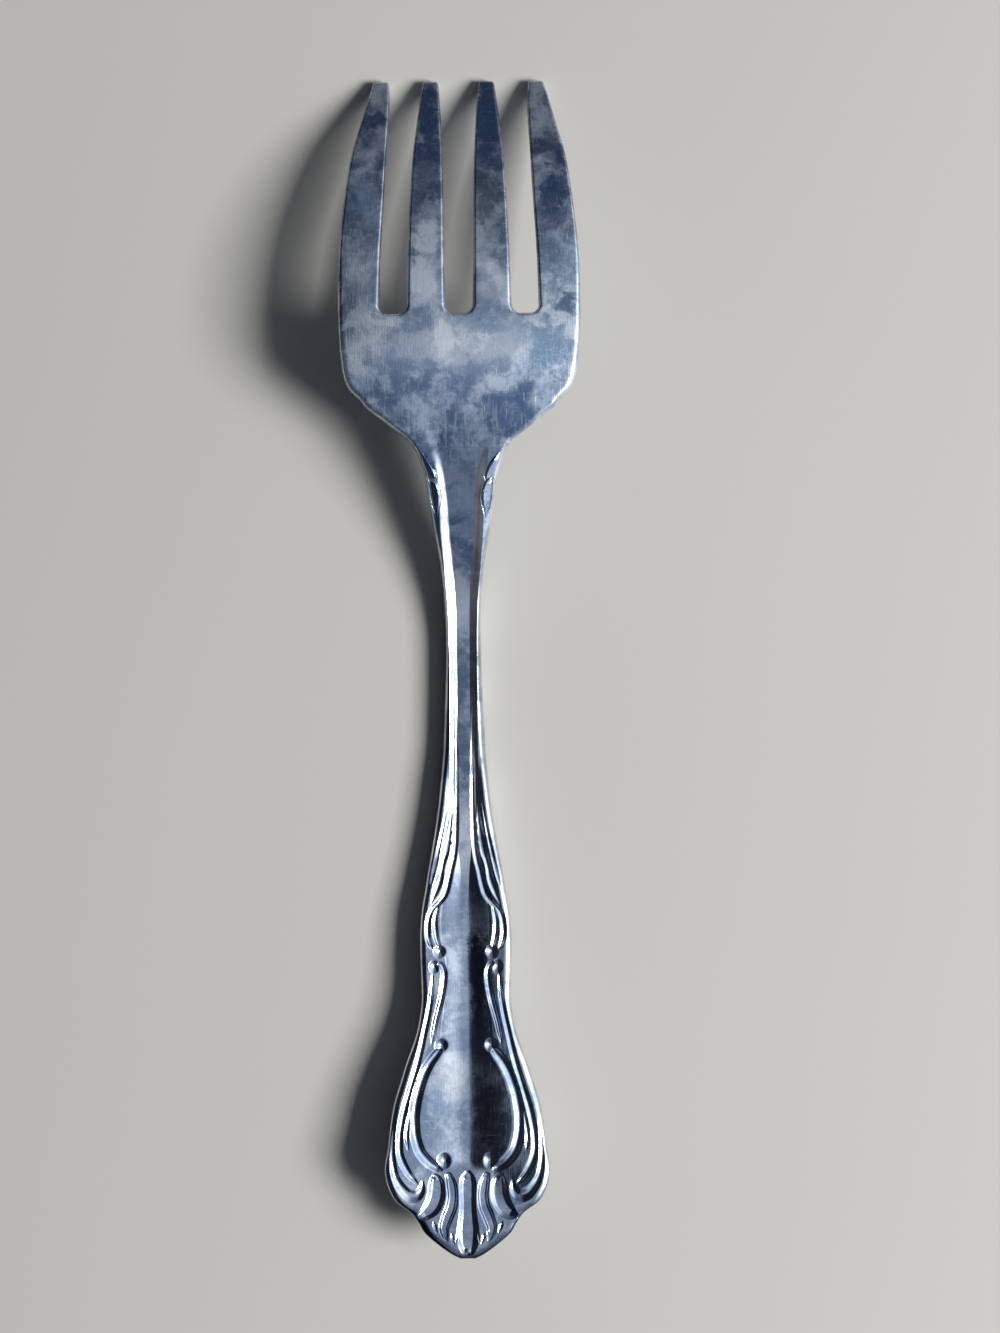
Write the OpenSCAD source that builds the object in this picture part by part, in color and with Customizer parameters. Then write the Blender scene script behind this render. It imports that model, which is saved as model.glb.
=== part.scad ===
// Four-tined dessert fork, pressed from one blank of steel.
// It lies face down, as it rests on a table: the back of the fork looks up (+Z), the tines
// point along +Y, and Z = 0 is the table. The tips of the tines and the middle of the stem
// touch the table. X = 0 is the plane of symmetry, and Y = 0 is the middle of the length.

/* [Lengths] */
// Length of the tines, from the floor of the slots to the tips
tine_length = 31.5; // [26:0.5:36]
// Length of the palm, from the floor of the slots to the widest part of the shoulder
palm_length = 8; // [7:0.5:12]
// Length of the shoulder, where the head narrows to the neck
shoulder_length = 8.5; // [7:0.5:12]
// Length of the neck
neck_length = 9; // [7:0.5:12]
// Length of the narrow stem
stem_length = 30; // [24:0.5:40]
// Length of the upper handle, from the stem to the pinch
upper_handle_length = 24; // [20:0.5:30]
// Length of the lower handle, which holds the oval panel
lower_handle_length = 28; // [22:0.5:33]
// Length of the shell at the end of the handle
shell_length = 11; // [9:0.5:14]

/* [Widths] */
// Width of an outer tine at its root
outer_tine_width = 5.2; // [4.8:0.1:5.6]
// Width of an inner tine at its root
inner_tine_width = 4.9; // [4.5:0.1:5.4]
// Width of the slots between the tines at their roots
slot_width = 3.35; // [2.8:0.05:3.8]
// Radius of the corners in the floor of a slot
slot_corner = 1.1; // [0.6:0.1:1.4]
// Width of a tine at its tip
tip_width = 2; // [1.6:0.1:2.4]
// Radius of the corners of a tip
tip_corner = 0.45; // [0.2:0.05:0.7]
// Distance between the middles of the outer tines at their tips
outer_tip_spread = 19.9; // [18:0.1:22]
// Distance between the middles of the inner tines at their tips
inner_tip_spread = 7.2; // [6.4:0.1:8]
// Width of the head at the corners of the shoulder
corner_width = 28.8; // [26:0.1:30]
// Width at the top of the neck
neck_width = 11.8; // [10:0.1:13.5]
// Width where the neck meets the stem
stem_head_width = 7.45; // [6:0.05:8.4]
// Width of the stem at its narrowest
stem_width = 4.6; // [4.3:0.05:5.2]
// Width where the stem meets the upper handle
stem_foot_width = 5.65; // [5.3:0.05:6.6]
// Width of the handle at the pinch, where the upper and lower handle meet
pinch_width = 11.7; // [10.5:0.1:13]
// Width of the lower handle at its waist
waist_width = 11.4; // [10.4:0.1:12.4]
// Width of the shell, the widest part of the handle
shell_width = 21; // [18:0.1:23]
// Width of the oval panel
panel_width = 12.2; // [11:0.1:13.2]

/* [Thickness] */
// Thickness of the head
head_thickness = 1.6; // [1.3:0.1:2]
// Thickness of the stem, which is the strongest part
stem_thickness = 2.4; // [2:0.1:3]
// Thickness of the handle
handle_thickness = 1.8; // [1.5:0.1:2.2]
// Thickness of the tines at their tips
tip_thickness = 1.1; // [0.9:0.1:1.3]
// Width of the rounding along the rim of the handle
rim_round = 0.8; // [0.5:0.05:1]
// Width of the rounding along the edges of the head and the stem
edge_round = 0.35; // [0.2:0.05:0.45]

/* [Bends] */
// Height of the front face above the table at the heel of the head
heel_rise = 10.6; // [8:0.1:12]
// Distance from the heel to the floor of the slots
heel_setback = 4.3; // [3:0.1:6]
// Length of the straight part of the stem, which lies on the table
rest_length = 8; // [4:0.5:12]
// Distance from the foot of the stem to the straight part
rest_setback = 5; // [3:0.5:10]
// Height by which the end of the handle bends up from the table
tail_rise = 5.6; // [3:0.1:7]
// Depth of the flat that wear has left on the front of the stem
rest_wear = 0.06; // [0.02:0.01:0.12]
// Drop of the head's edges below its middle
head_dish = 0.8; // [0.4:0.1:1.4]

/* [Pressed relief] */
// Depth of the channel in the back of the stem
channel_depth = 0.6; // [0.3:0.05:0.8]
// Width of the channel in the back of the stem
channel_width = 3.4; // [3:0.1:3.8]
// Depth of the oval panel at its middle crease
panel_depth = 0.95; // [0.5:0.05:1.2]
// Depth of the two grooves along each border of the handle
groove_depth = 0.3; // [0.1:0.05:0.4]
// Depth of the flutes of the shell
flute_depth = 0.5; // [0.2:0.05:0.6]
// Radius of the beads at the ends of the scrolls
bead_radius = 0.62; // [0.4:0.02:0.8]
// Depth of the beads
bead_depth = 0.35; // [0.15:0.05:0.5]

/* [Hidden] */
$fn = 48;

steel = [0.56, 0.61, 0.69];
pale_steel = [0.68, 0.72, 0.79];
dark_steel = [0.33, 0.37, 0.46];

// Places along Y, from the tips of the tines to the end of the handle
fork_length = tine_length + palm_length + shoulder_length + neck_length + stem_length
    + upper_handle_length + lower_handle_length + shell_length;
tip_y = fork_length / 2;
slot_floor_y = tip_y - tine_length;
tine_root_y = slot_floor_y + slot_corner;
corner_y = slot_floor_y - palm_length;
neck_y = corner_y - shoulder_length;
stem_head_y = neck_y - neck_length;
stem_foot_y = stem_head_y - stem_length;
pinch_y = stem_foot_y - upper_handle_length;
shell_y = pinch_y - lower_handle_length;
end_y = shell_y - shell_length;
heel_y = slot_floor_y - heel_setback;
rest_end_y = stem_foot_y + rest_setback;
rest_start_y = rest_end_y + rest_length;

// Heights halfway through the steel
rest_z = stem_thickness / 2 + channel_depth - rest_wear;
heel_z = head_thickness / 2 + heel_rise;
tip_z = tip_thickness / 2;

head_width = 2 * (inner_tine_width + outer_tine_width) + 3 * slot_width;
inner_root_spread = inner_tine_width + slot_width;
outer_root_spread = head_width - outer_tine_width;
outer_slot_x = inner_root_spread / 2 + (inner_tine_width + slot_width) / 2;
crest_width = edge_round / 2;

// Each row holds a share of a length and a share of the step between two named widths
shell_outline_shares = [
    [0, 0.09], [0.03, 0.16], [0.07, 0.23], [0.18, 0.39], [0.29, 0.52], [0.4, 0.59], [0.51, 0.68],
    [0.62, 0.845], [0.74, 0.93], [0.85, 0.975],
];
lower_outline_shares = [
    [0, 1], [0.09, 0.915], [0.16, 0.87], [0.23, 0.815], [0.29, 0.745], [0.34, 0.66], [0.41, 0.53],
    [0.47, 0.42], [0.54, 0.265], [0.61, 0.13], [0.68, 0.05], [0.745, 0], [0.81, 0], [0.88, 0.015],
];
upper_outline_shares = [
    [0, 1], [0.045, 1], [0.125, 0.97], [0.2, 0.905], [0.28, 0.79], [0.39, 0.65], [0.5, 0.49], [0.6, 0.36],
    [0.77, 0.17], [0.87, 0.09],
];
stem_foot_shares = [[0, 1], [0.155, 0.6], [0.24, 0.36], [0.35, 0.13], [0.46, 0.01], [0.55, 0]];
stem_head_shares = [[0.67, 0.1], [0.75, 0.23], [0.84, 0.45], [0.96, 0.88]];
neck_outline_shares = [[0, 0], [0.29, 0.21], [0.56, 0.34], [0.83, 0.66], [0.97, 0.91]];
shoulder_outline_shares = [
    [0, 0], [0.11, 0.09], [0.25, 0.27], [0.4, 0.46], [0.54, 0.65], [0.69, 0.78], [0.83, 0.92], [0.97, 0.99],
];
palm_outline_shares = [[0, 0], [0.12, 0.28], [0.27, 0.5], [0.41, 0.68], [0.7, 0.9], [1, 1]];

// Half of the handle's panel, as shares of the upper or lower handle and of half the panel's width
lower_panel_shares = [
    [0, 0.3], [0.03, 0.5], [0.06, 0.7], [0.1, 0.85], [0.15, 0.95], [0.22, 1], [0.29, 1], [0.36, 0.95],
    [0.43, 0.89], [0.49, 0.8], [0.56, 0.66], [0.63, 0.55], [0.75, 0.44], [0.87, 0.38], [0.97, 0.44],
];
upper_panel_shares = [[0.03, 0.47], [0.16, 0.52], [0.27, 0.48], [0.38, 0.33], [0.5, 0.25], [0.7, 0.24]];

// Places of the beads, as shares of half the panel's width and of the lower handle
bead_shares = [[0.49, 0.035], [0.51, 0.54], [0.67, 0.9], [0.53, 0.97]];

// Width and place of a tine along its length, as shares of the way from its root to its tip
outer_taper_shares = [[0, 0], [0.25, -0.02], [0.47, 0.06], [0.69, 0.27], [0.83, 0.56], [0.92, 0.76], [1, 1]];
inner_taper_shares = [[0, 0], [0.25, 0.12], [0.47, 0.24], [0.69, 0.43], [0.83, 0.66], [0.92, 0.83], [1, 1]];
tine_lean_shares = [[0, 0], [0.25, 0.06], [0.47, 0.25], [0.69, 0.5], [0.83, 0.76], [0.92, 0.91], [1, 1]];

// Places across the border of the handle, from the panel to the rounding of the rim, and how deep
// each lies, as a share of the depth of a groove
border_shares = [[0, 0], [0.18, 1], [0.36, 0], [0.55, 0], [0.72, 1], [0.86, 0], [1, 0]];
floor_share = 0.55;

// Rounding of an edge, from the flat back outwards: shares of its width across and down
round_shares = [[1, 0], [0.45, 0.16], [0.12, 0.52], [0, 0.85]];

// Width of the channel as a share of the head's width, and how far it has grown where the neck starts
head_channel_share = 0.5;
channel_growth = 0.33;

// Exponents of the bends: the higher, the more of the bend lies towards the tips or the end
head_bend = 1.8;
tail_bend = 1.6;
dish_bend = 2;

// Number of rows of facets along each piece
tine_rows = 16;
palm_rows = 10;
shoulder_rows = 12;
neck_rows = 10;
stem_rows = 22;
upper_handle_rows = 22;
lower_handle_rows = 30;
shell_rows = 14;

cut_overrun = 5;

function mix(a, b, t) = a + (b - a) * t;
function unit(t) = min(max(t, 0), 1);
function ease(t) = let (c = unit(t)) c * c * (3 - 2 * c);

// Slope of a table at row i, from its neighbours
function slope(table, i) =
    let (a = max(i - 1, 0), b = min(i + 1, len(table) - 1))
    (table[b][1] - table[a][1]) / (table[b][0] - table[a][0]);

// Smooth curve through a table of rows that rise by their first value
function curve(table, key) =
    let (
        last = len(table) - 2,
        below = len([for (row = table) if (row[0] <= key) 1]) - 1,
        i = min(max(below, 0), last),
        step = table[i + 1][0] - table[i][0],
        t = unit((key - table[i][0]) / step),
        t2 = t * t,
        t3 = t2 * t
    )
    (2 * t3 - 3 * t2 + 1) * table[i][1] + (t3 - 2 * t2 + t) * step * slope(table, i)
        + (3 * t2 - 2 * t3) * table[i + 1][1] + (t3 - t2) * step * slope(table, i + 1);

// Rows of shares turned into places along Y and half widths
function placed(shares, from_y, length, narrow, wide) =
    [for (row = shares) [from_y + row[0] * length, mix(narrow, wide, row[1]) / 2]];

outline = concat(
    placed(shell_outline_shares, end_y, shell_length, 0, shell_width),
    placed(lower_outline_shares, shell_y, lower_handle_length, waist_width, shell_width),
    placed(upper_outline_shares, pinch_y, upper_handle_length, stem_foot_width, pinch_width),
    placed(stem_foot_shares, stem_foot_y, stem_length, stem_width, stem_foot_width),
    placed(stem_head_shares, stem_foot_y, stem_length, stem_width, stem_head_width),
    placed(neck_outline_shares, stem_head_y, neck_length, stem_head_width, neck_width),
    placed(shoulder_outline_shares, neck_y, shoulder_length, neck_width, corner_width),
    placed(palm_outline_shares, corner_y, palm_length, corner_width, head_width)
);

channel_outline = concat(
    placed(lower_panel_shares, shell_y, lower_handle_length, 0, panel_width),
    placed(upper_panel_shares, pinch_y, upper_handle_length, 0, panel_width),
    [
        [rest_start_y, channel_width / 2],
        [stem_head_y, mix(channel_width, stem_head_width, channel_growth) / 2],
        [neck_y, head_channel_share * neck_width / 2],
        [corner_y, head_channel_share * corner_width / 2],
        [tine_root_y, head_channel_share * head_width / 2],
    ]
);

function half_width(y) = curve(outline, y);

// Width of the rounding, which grows from the stem to the pinch
function round_width(y) = mix(edge_round, rim_round, ease((stem_foot_y - y) / upper_handle_length));
function channel_half(y) = min(curve(channel_outline, y), half_width(y) - round_width(y) - crest_width);

function thickness(y) =
    y > slot_floor_y
        ? mix(head_thickness, tip_thickness, unit((y - slot_floor_y) / tine_length))
        : y > stem_head_y
            ? mix(stem_thickness, head_thickness, ease((y - stem_head_y) / (heel_y - stem_head_y)))
            : mix(handle_thickness, stem_thickness, ease((y - pinch_y) / upper_handle_length));

// Height halfway through the steel above the table, along the plane of symmetry
function spine(y) =
    y >= heel_y
        ? mix(heel_z, tip_z, pow(unit((y - heel_y) / (tip_y - heel_y)), head_bend))
        : y >= rest_start_y
            ? mix(rest_z, heel_z, ease((y - rest_start_y) / (heel_y - rest_start_y)))
            : rest_z + tail_rise * pow(unit((rest_end_y - y) / (rest_end_y - end_y)), tail_bend);

// Drop at x, because the head is dished
function dish(x, y) =
    head_dish * pow(abs(2 * x / head_width), dish_bend) * ease((y - stem_head_y) / (slot_floor_y - stem_head_y))
        * (1 - ease((y - slot_floor_y) / tine_length));

// Depth of the middle of the channel or panel
function middle_depth(y) =
    y > rest_start_y
        ? channel_depth * (1 - ease((y - stem_head_y) / (heel_y - stem_head_y)))
        : y > pinch_y
            ? mix(panel_depth, channel_depth, ease((y - pinch_y) / upper_handle_length))
            : panel_depth;

// The floor is flat in the stem and turns into a crease in the handle
function floor_depth(y) =
    middle_depth(y) * mix(1 - floor_share, 1, ease((y - pinch_y) / upper_handle_length));

// The grooves of the border start at the stem and are deepest below the pinch
function border_depth(y) = groove_depth * ease((stem_foot_y - y) / upper_handle_length);

// Right half of a section: places across and depths pressed below the rim
function handle_half(y) =
    let (
        half = half_width(y),
        channel = channel_half(y),
        border = half - round_width(y) - channel
    )
    concat(
        [[0, middle_depth(y)], [channel * floor_share, floor_depth(y)]],
        [for (row = border_shares) [channel + border * row[0], border_depth(y) * row[1]]]
    );

// Right half of a section of the shell: the handle's section turns into flutes that fan out
function shell_half(y) =
    let (
        handle = handle_half(shell_y),
        rim = len(handle) - 1,
        half = max(half_width(y) - round_width(y), crest_width),
        fade = ease((shell_y - y) / (shell_length / 2))
    )
    [for (k = [0:rim])
        [
            half * mix(handle[k][0] / handle[rim][0], k / rim, fade),
            mix(handle[k][1], k % 2 == 0 && k < rim ? flute_depth : 0, fade),
        ]];

// Closed ring of points of one section, round the back from left to right and home along the front
function ring(half_section, y) =
    let (
        half = half_width(y),
        thick = thickness(y),
        last_x = half_section[len(half_section) - 1][0],
        rim = [for (row = round_shares) if (row[0] < 1)
            [mix(half, last_x, row[0]), min(round_width(y), thick / 2) * row[1]]],
        right_back = concat(
            [for (p = half_section) [p[0], spine(y) + thick / 2 - p[1] - dish(p[0], y)]],
            [for (p = rim) [p[0], spine(y) + thick / 2 - p[1] - dish(p[0], y)]]
        ),
        right_front = concat(
            [for (p = half_section) [p[0], spine(y) - thick / 2 - p[1] - dish(p[0], y)]],
            [for (p = rim) [p[0], spine(y) - thick / 2 + p[1] - dish(p[0], y)]]
        ),
        n = len(right_back)
    )
    concat(
        [for (k = [n - 1:-1:1]) [-right_back[k][0], y, right_back[k][1]]],
        [for (k = [0:n - 1]) [right_back[k][0], y, right_back[k][1]]],
        [for (k = [n - 1:-1:0]) [right_front[k][0], y, right_front[k][1]]],
        [for (k = [1:n - 1]) [-right_front[k][0], y, right_front[k][1]]]
    );

// Narrowing of each side of a tine, where the corners of its tip are rounded
function corner_step(y) =
    let (past = unit((y - tip_y + tip_corner) / tip_corner)) tip_corner * (1 - sqrt(1 - past * past));

// Ring of the tine whose middle runs from root_x to tip_x, root_width wide where it starts
function tine_ring(root_x, tip_x, root_width, taper_shares, y) =
    let (
        t = (y - slot_floor_y) / tine_length,
        middle = mix(root_x, tip_x, curve(tine_lean_shares, t)),
        half = mix(root_width, tip_width, curve(taper_shares, t)) / 2 - corner_step(y),
        thick = thickness(y),
        right = [for (row = round_shares) [half - edge_round * row[0], edge_round * row[1]]],
        left = [for (k = [len(right) - 1:-1:0]) [-right[k][0], right[k][1]]],
        across = concat(left, [[0, 0]], right)
    )
    concat(
        [for (p = across) [middle + p[0], y, spine(y) + thick / 2 - p[1] - dish(middle + p[0], y)]],
        [for (k = [len(across) - 1:-1:0])
            let (p = across[k])
            [middle + p[0], y, spine(y) - thick / 2 + p[1] - dish(middle + p[0], y)]]
    );

// Places of the rows of one piece, from its low end to its high end
function rows(from_y, to_y, count) = [for (k = [0:count]) mix(from_y, to_y, k / count)];

// Solid through a list of rings that hold a back from left to right and a front from right to left
module skin(rings) {
    size = len(rings[0]);
    count = len(rings);
    side = size / 2;
    walls = [
        for (i = [0:count - 2], j = [0:size - 1])
            let (a = i * size + j, b = i * size + (j + 1) % size, c = b + size, d = a + size)
            each [[a, b, c], [a, c, d]]
    ];
    low_end = [for (j = [0:side - 2]) each [[j, size - 1 - j, j + 1], [j + 1, size - 1 - j, size - 2 - j]]];
    top = (count - 1) * size;
    high_end = [
        for (j = [0:side - 2])
            each [[top + j, top + j + 1, top + size - 1 - j], [top + j + 1, top + size - 2 - j, top + size - 1 - j]]
    ];
    polyhedron([for (r = rings) each r], concat(walls, low_end, high_end));
}

module handle_piece(from_y, to_y, count) {
    skin([for (y = rows(from_y, to_y, count)) ring(handle_half(y), y)]);
}

module tine(root_x, tip_x, root_width, taper_shares) {
    straight_rows = rows(tine_root_y, tip_y - tip_corner, tine_rows);
    corner_rows = [for (angle = [30:30:90]) tip_y - tip_corner + tip_corner * sin(angle)];
    color(pale_steel)
        skin([for (y = concat(straight_rows, corner_rows)) tine_ring(root_x, tip_x, root_width, taper_shares, y)]);
}

module outer_tine(side) {
    tine(side * outer_root_spread / 2, side * outer_tip_spread / 2, outer_tine_width, outer_taper_shares);
}

module inner_tine(side) {
    tine(side * inner_root_spread / 2, side * inner_tip_spread / 2, inner_tine_width, inner_taper_shares);
}

// Slot with two rounded corners in its floor, cut through the palm from the table up
module slot() {
    linear_extrude(heel_z + cut_overrun)
        translate([0, slot_floor_y + slot_corner]) {
            for (side = [-1, 1]) translate([side * (slot_width / 2 - slot_corner), 0]) circle(slot_corner);
            translate([slot_corner - slot_width / 2, -slot_corner])
                square([slot_width - 2 * slot_corner, slot_corner]);
            translate([-slot_width / 2, 0]) square([slot_width, cut_overrun]);
        }
}

module palm() {
    color(steel) difference() {
        handle_piece(corner_y, tine_root_y, palm_rows);
        for (side = [-1, 0, 1]) translate([side * outer_slot_x, 0]) slot();
    }
}

module shoulder() {
    color(steel) handle_piece(neck_y, corner_y, shoulder_rows);
}

module neck() {
    color(dark_steel) handle_piece(stem_head_y, neck_y, neck_rows);
}

// Cuts away what wear against the table has taken from the front of the stem
module worn() {
    difference() {
        children();
        translate([-stem_foot_width, pinch_y, -cut_overrun])
            cube([2 * stem_foot_width, stem_head_y - pinch_y, cut_overrun]);
    }
}

module stem() {
    color(steel) worn() handle_piece(stem_foot_y, stem_head_y, stem_rows);
}

module upper_handle() {
    color(pale_steel) worn() handle_piece(pinch_y, stem_foot_y, upper_handle_rows);
}

// Ball that sinks a bead into the back at x and y
module bead(x, y) {
    ball = (bead_radius * bead_radius + bead_depth * bead_depth) / (2 * bead_depth);
    back_z = spine(y) + thickness(y) / 2 - lookup(abs(x), handle_half(y));
    translate([x, y, back_z - bead_depth + ball]) sphere(ball);
}

module lower_handle() {
    color(dark_steel) difference() {
        handle_piece(shell_y, pinch_y, lower_handle_rows);
        for (share = bead_shares, side = [-1, 1])
            bead(side * share[0] * panel_width / 2, shell_y + share[1] * lower_handle_length);
    }
}

module shell_tip() {
    color(steel) skin([for (y = rows(end_y, shell_y, shell_rows)) ring(shell_half(y), y)]);
}

outer_tine(-1);  // outer_tine_left
inner_tine(-1);  // inner_tine_left
inner_tine(1);  // inner_tine_right
outer_tine(1);  // outer_tine_right
palm();
shoulder();
neck();
stem();
upper_handle();
lower_handle();
shell_tip();
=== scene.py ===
"""Four-tined dessert fork that lies face down: its dressed model and the studio around it.

Sizes are in millimetres and meshes in metres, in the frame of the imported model: the tips of the
tines point along +Y, the back of the fork looks up along +Z, and the table is Z = 0.
"""

import logging
import math
from collections.abc import Callable
from dataclasses import dataclass
from enum import Enum
from functools import cached_property, partial
from typing import ClassVar

import bpy
import numpy as np
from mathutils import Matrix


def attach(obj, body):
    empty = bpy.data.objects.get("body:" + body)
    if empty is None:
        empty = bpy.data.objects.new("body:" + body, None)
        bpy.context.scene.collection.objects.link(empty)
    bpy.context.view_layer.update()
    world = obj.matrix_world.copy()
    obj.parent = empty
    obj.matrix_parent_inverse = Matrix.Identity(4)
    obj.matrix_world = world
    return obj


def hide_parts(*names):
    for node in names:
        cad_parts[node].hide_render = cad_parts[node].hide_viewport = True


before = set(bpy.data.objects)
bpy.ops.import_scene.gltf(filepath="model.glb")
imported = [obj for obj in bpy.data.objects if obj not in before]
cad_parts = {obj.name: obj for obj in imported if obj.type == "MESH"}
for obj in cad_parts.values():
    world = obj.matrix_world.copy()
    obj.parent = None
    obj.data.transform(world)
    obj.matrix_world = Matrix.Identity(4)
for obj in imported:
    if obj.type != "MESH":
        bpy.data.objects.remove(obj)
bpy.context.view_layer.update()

MM = 0.001
# Distance over which the slope of a side is measured, in millimetres
SIDE_STEP = 0.02
# How far the columns of a piece are crowded towards its sides
CROWDING = 0.45

Array = np.ndarray
Span = tuple[float, float]
Table = tuple[tuple[float, float], ...]
Path = tuple[tuple[float, float, float], ...]
Colour = tuple[float, float, float]
Vector = tuple[float, float, float]
Layout = Callable[[Array, Array], tuple[Array, Array, Array]]
log = logging.getLogger("fork")


class Slot(Enum):
    """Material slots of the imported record."""

    TINES = "tines"
    HEAD = "head"
    HANDLE = "handle"


class Floor(Enum):
    """Shape of the floor of a pressed line."""

    HOLLOW = "hollow"
    FLAT = "flat"


def mix(low: Array | float, high: Array | float, share: Array | float) -> Array | float:
    """Returns the value that lies at a share of the way from low to high."""
    return low + (high - low) * share


def ease(share: Array | float) -> Array:
    """Returns a share that starts and stops gently, held between 0 and 1."""
    held = np.clip(share, 0.0, 1.0)
    return held * held * (3.0 - 2.0 * held)


def over(place: Array | float, span: Span) -> Array:
    """Returns a share that goes gently from 0 at the start of a span to 1 at its end."""
    start, end = span
    return ease((place - start) / (end - start))


def crowd(turn: Array) -> Array:
    """Returns even shares from -1 to 1 moved closer together towards both ends."""
    return mix(turn, np.sin(turn * math.pi / 2), CROWDING)


def curve(table: Array, keys: Array) -> Array:
    """Reads a smooth curve through the rows of a table.

    Args:
        table: Rows of a rising key and a value.
        keys: Keys at which the curve is read.

    Returns:
        One value for each key, held at the ends of the table.
    """
    places, values = table[:, 0], table[:, 1]
    slopes = np.gradient(values, places)
    row = np.clip(np.searchsorted(places, keys, side="right") - 1, 0, len(places) - 2)
    step = places[row + 1] - places[row]
    t = np.clip((keys - places[row]) / step, 0.0, 1.0)
    low = (2 * t**3 - 3 * t**2 + 1) * values[row] + (t**3 - 2 * t**2 + t) * step * slopes[row]
    high = (3 * t**2 - 2 * t**3) * values[row + 1] + (t**3 - t**2) * step * slopes[row + 1]
    return low + high


def select_only(piece: bpy.types.Object) -> None:
    """Selects one object and makes it the active one.

    Args:
        piece: The object.
    """
    bpy.ops.object.select_all(action="DESELECT")
    piece.select_set(True)
    bpy.context.view_layer.objects.active = piece


def face_outwards() -> None:
    """Points the faces of the active object outwards."""
    bpy.ops.object.mode_set(mode="EDIT")
    bpy.ops.mesh.select_all(action="SELECT")
    bpy.ops.mesh.normals_make_consistent(inside=False)
    bpy.ops.object.mode_set(mode="OBJECT")


@dataclass(frozen=True)
class ForkShape:
    """Sizes of the pressed blank, and the smooth forms that follow from them."""

    tine_length: float = 31.5
    palm_length: float = 8.0
    shoulder_length: float = 8.5
    neck_length: float = 9.0
    stem_length: float = 30.0
    upper_handle_length: float = 24.0
    lower_handle_length: float = 28.0
    shell_length: float = 11.0

    outer_tine_width: float = 5.2
    inner_tine_width: float = 4.9
    slot_width: float = 3.35
    slot_corner: float = 1.1
    tip_width: float = 2.0
    tip_corner: float = 0.45
    outer_tip_spread: float = 19.9
    inner_tip_spread: float = 7.2
    corner_width: float = 28.8
    neck_width: float = 11.8
    stem_head_width: float = 7.45
    stem_width: float = 4.6
    stem_foot_width: float = 5.65
    pinch_width: float = 11.7
    waist_width: float = 11.4
    shell_width: float = 21.0

    head_thickness: float = 1.6
    stem_thickness: float = 2.4
    handle_thickness: float = 1.8
    tip_thickness: float = 1.1

    heel_rise: float = 10.6
    heel_setback: float = 4.3
    rest_length: float = 8.0
    rest_setback: float = 5.0
    tail_rise: float = 5.6
    rest_wear: float = 0.06
    head_dish: float = 0.8
    head_bend: float = 1.8
    tail_bend: float = 1.6
    channel_depth: float = 0.6

    shell_outline: Table = (
        (0, 0.09), (0.03, 0.16), (0.07, 0.23), (0.18, 0.39), (0.29, 0.52), (0.4, 0.59), (0.51, 0.68),
        (0.62, 0.845), (0.74, 0.93), (0.85, 0.975),
    )
    lower_outline: Table = (
        (0, 1), (0.09, 0.915), (0.16, 0.87), (0.23, 0.815), (0.29, 0.745), (0.34, 0.66), (0.41, 0.53),
        (0.47, 0.42), (0.54, 0.265), (0.61, 0.13), (0.68, 0.05), (0.745, 0), (0.81, 0), (0.88, 0.015),
    )
    upper_outline: Table = (
        (0, 1), (0.045, 1), (0.125, 0.97), (0.2, 0.905), (0.28, 0.79), (0.39, 0.65), (0.5, 0.49),
        (0.6, 0.36), (0.77, 0.17), (0.87, 0.09),
    )
    stem_foot: Table = ((0, 1), (0.155, 0.6), (0.24, 0.36), (0.35, 0.13), (0.46, 0.01), (0.55, 0))
    stem_head: Table = ((0.67, 0.1), (0.75, 0.23), (0.84, 0.45), (0.96, 0.88))
    neck_outline: Table = ((0, 0), (0.29, 0.21), (0.56, 0.34), (0.83, 0.66), (0.97, 0.91))
    shoulder_outline: Table = (
        (0, 0), (0.11, 0.09), (0.25, 0.27), (0.4, 0.46), (0.54, 0.65), (0.69, 0.78), (0.83, 0.92),
        (0.97, 0.99),
    )
    palm_outline: Table = ((0, 0), (0.12, 0.28), (0.27, 0.5), (0.41, 0.68), (0.7, 0.9), (1, 1))

    @cached_property
    def length(self) -> float:
        """Adds the lengths of the regions up.

        Returns:
            Length of the whole fork.
        """
        head = self.tine_length + self.palm_length + self.shoulder_length
        middle = self.neck_length + self.stem_length
        return head + middle + self.upper_handle_length + self.lower_handle_length + self.shell_length

    @cached_property
    def tip_y(self) -> float:
        """Place of the tips of the tines."""
        return self.length / 2

    @cached_property
    def slot_floor_y(self) -> float:
        """Place of the floors of the slots."""
        return self.tip_y - self.tine_length

    @cached_property
    def tine_root_y(self) -> float:
        """Place where the palm ends and the tines start."""
        return self.slot_floor_y + self.slot_corner

    @cached_property
    def corner_y(self) -> float:
        """Place where the palm meets the shoulder."""
        return self.slot_floor_y - self.palm_length

    @cached_property
    def neck_y(self) -> float:
        """Place where the shoulder meets the neck."""
        return self.corner_y - self.shoulder_length

    @cached_property
    def stem_head_y(self) -> float:
        """Place where the neck meets the stem."""
        return self.neck_y - self.neck_length

    @cached_property
    def stem_foot_y(self) -> float:
        """Place where the stem meets the upper handle."""
        return self.stem_head_y - self.stem_length

    @cached_property
    def pinch_y(self) -> float:
        """Place where the upper handle meets the lower handle."""
        return self.stem_foot_y - self.upper_handle_length

    @cached_property
    def shell_y(self) -> float:
        """Place where the lower handle meets the shell."""
        return self.pinch_y - self.lower_handle_length

    @cached_property
    def end_y(self) -> float:
        """Place of the end of the handle."""
        return -self.length / 2

    @cached_property
    def heel_y(self) -> float:
        """Place of the highest part of the head."""
        return self.slot_floor_y - self.heel_setback

    @cached_property
    def rest_end_y(self) -> float:
        """Place where the handle starts to bend up from the table."""
        return self.stem_foot_y + self.rest_setback

    @cached_property
    def rest_start_y(self) -> float:
        """Place where the stem starts to rise towards the head."""
        return self.rest_end_y + self.rest_length

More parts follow.
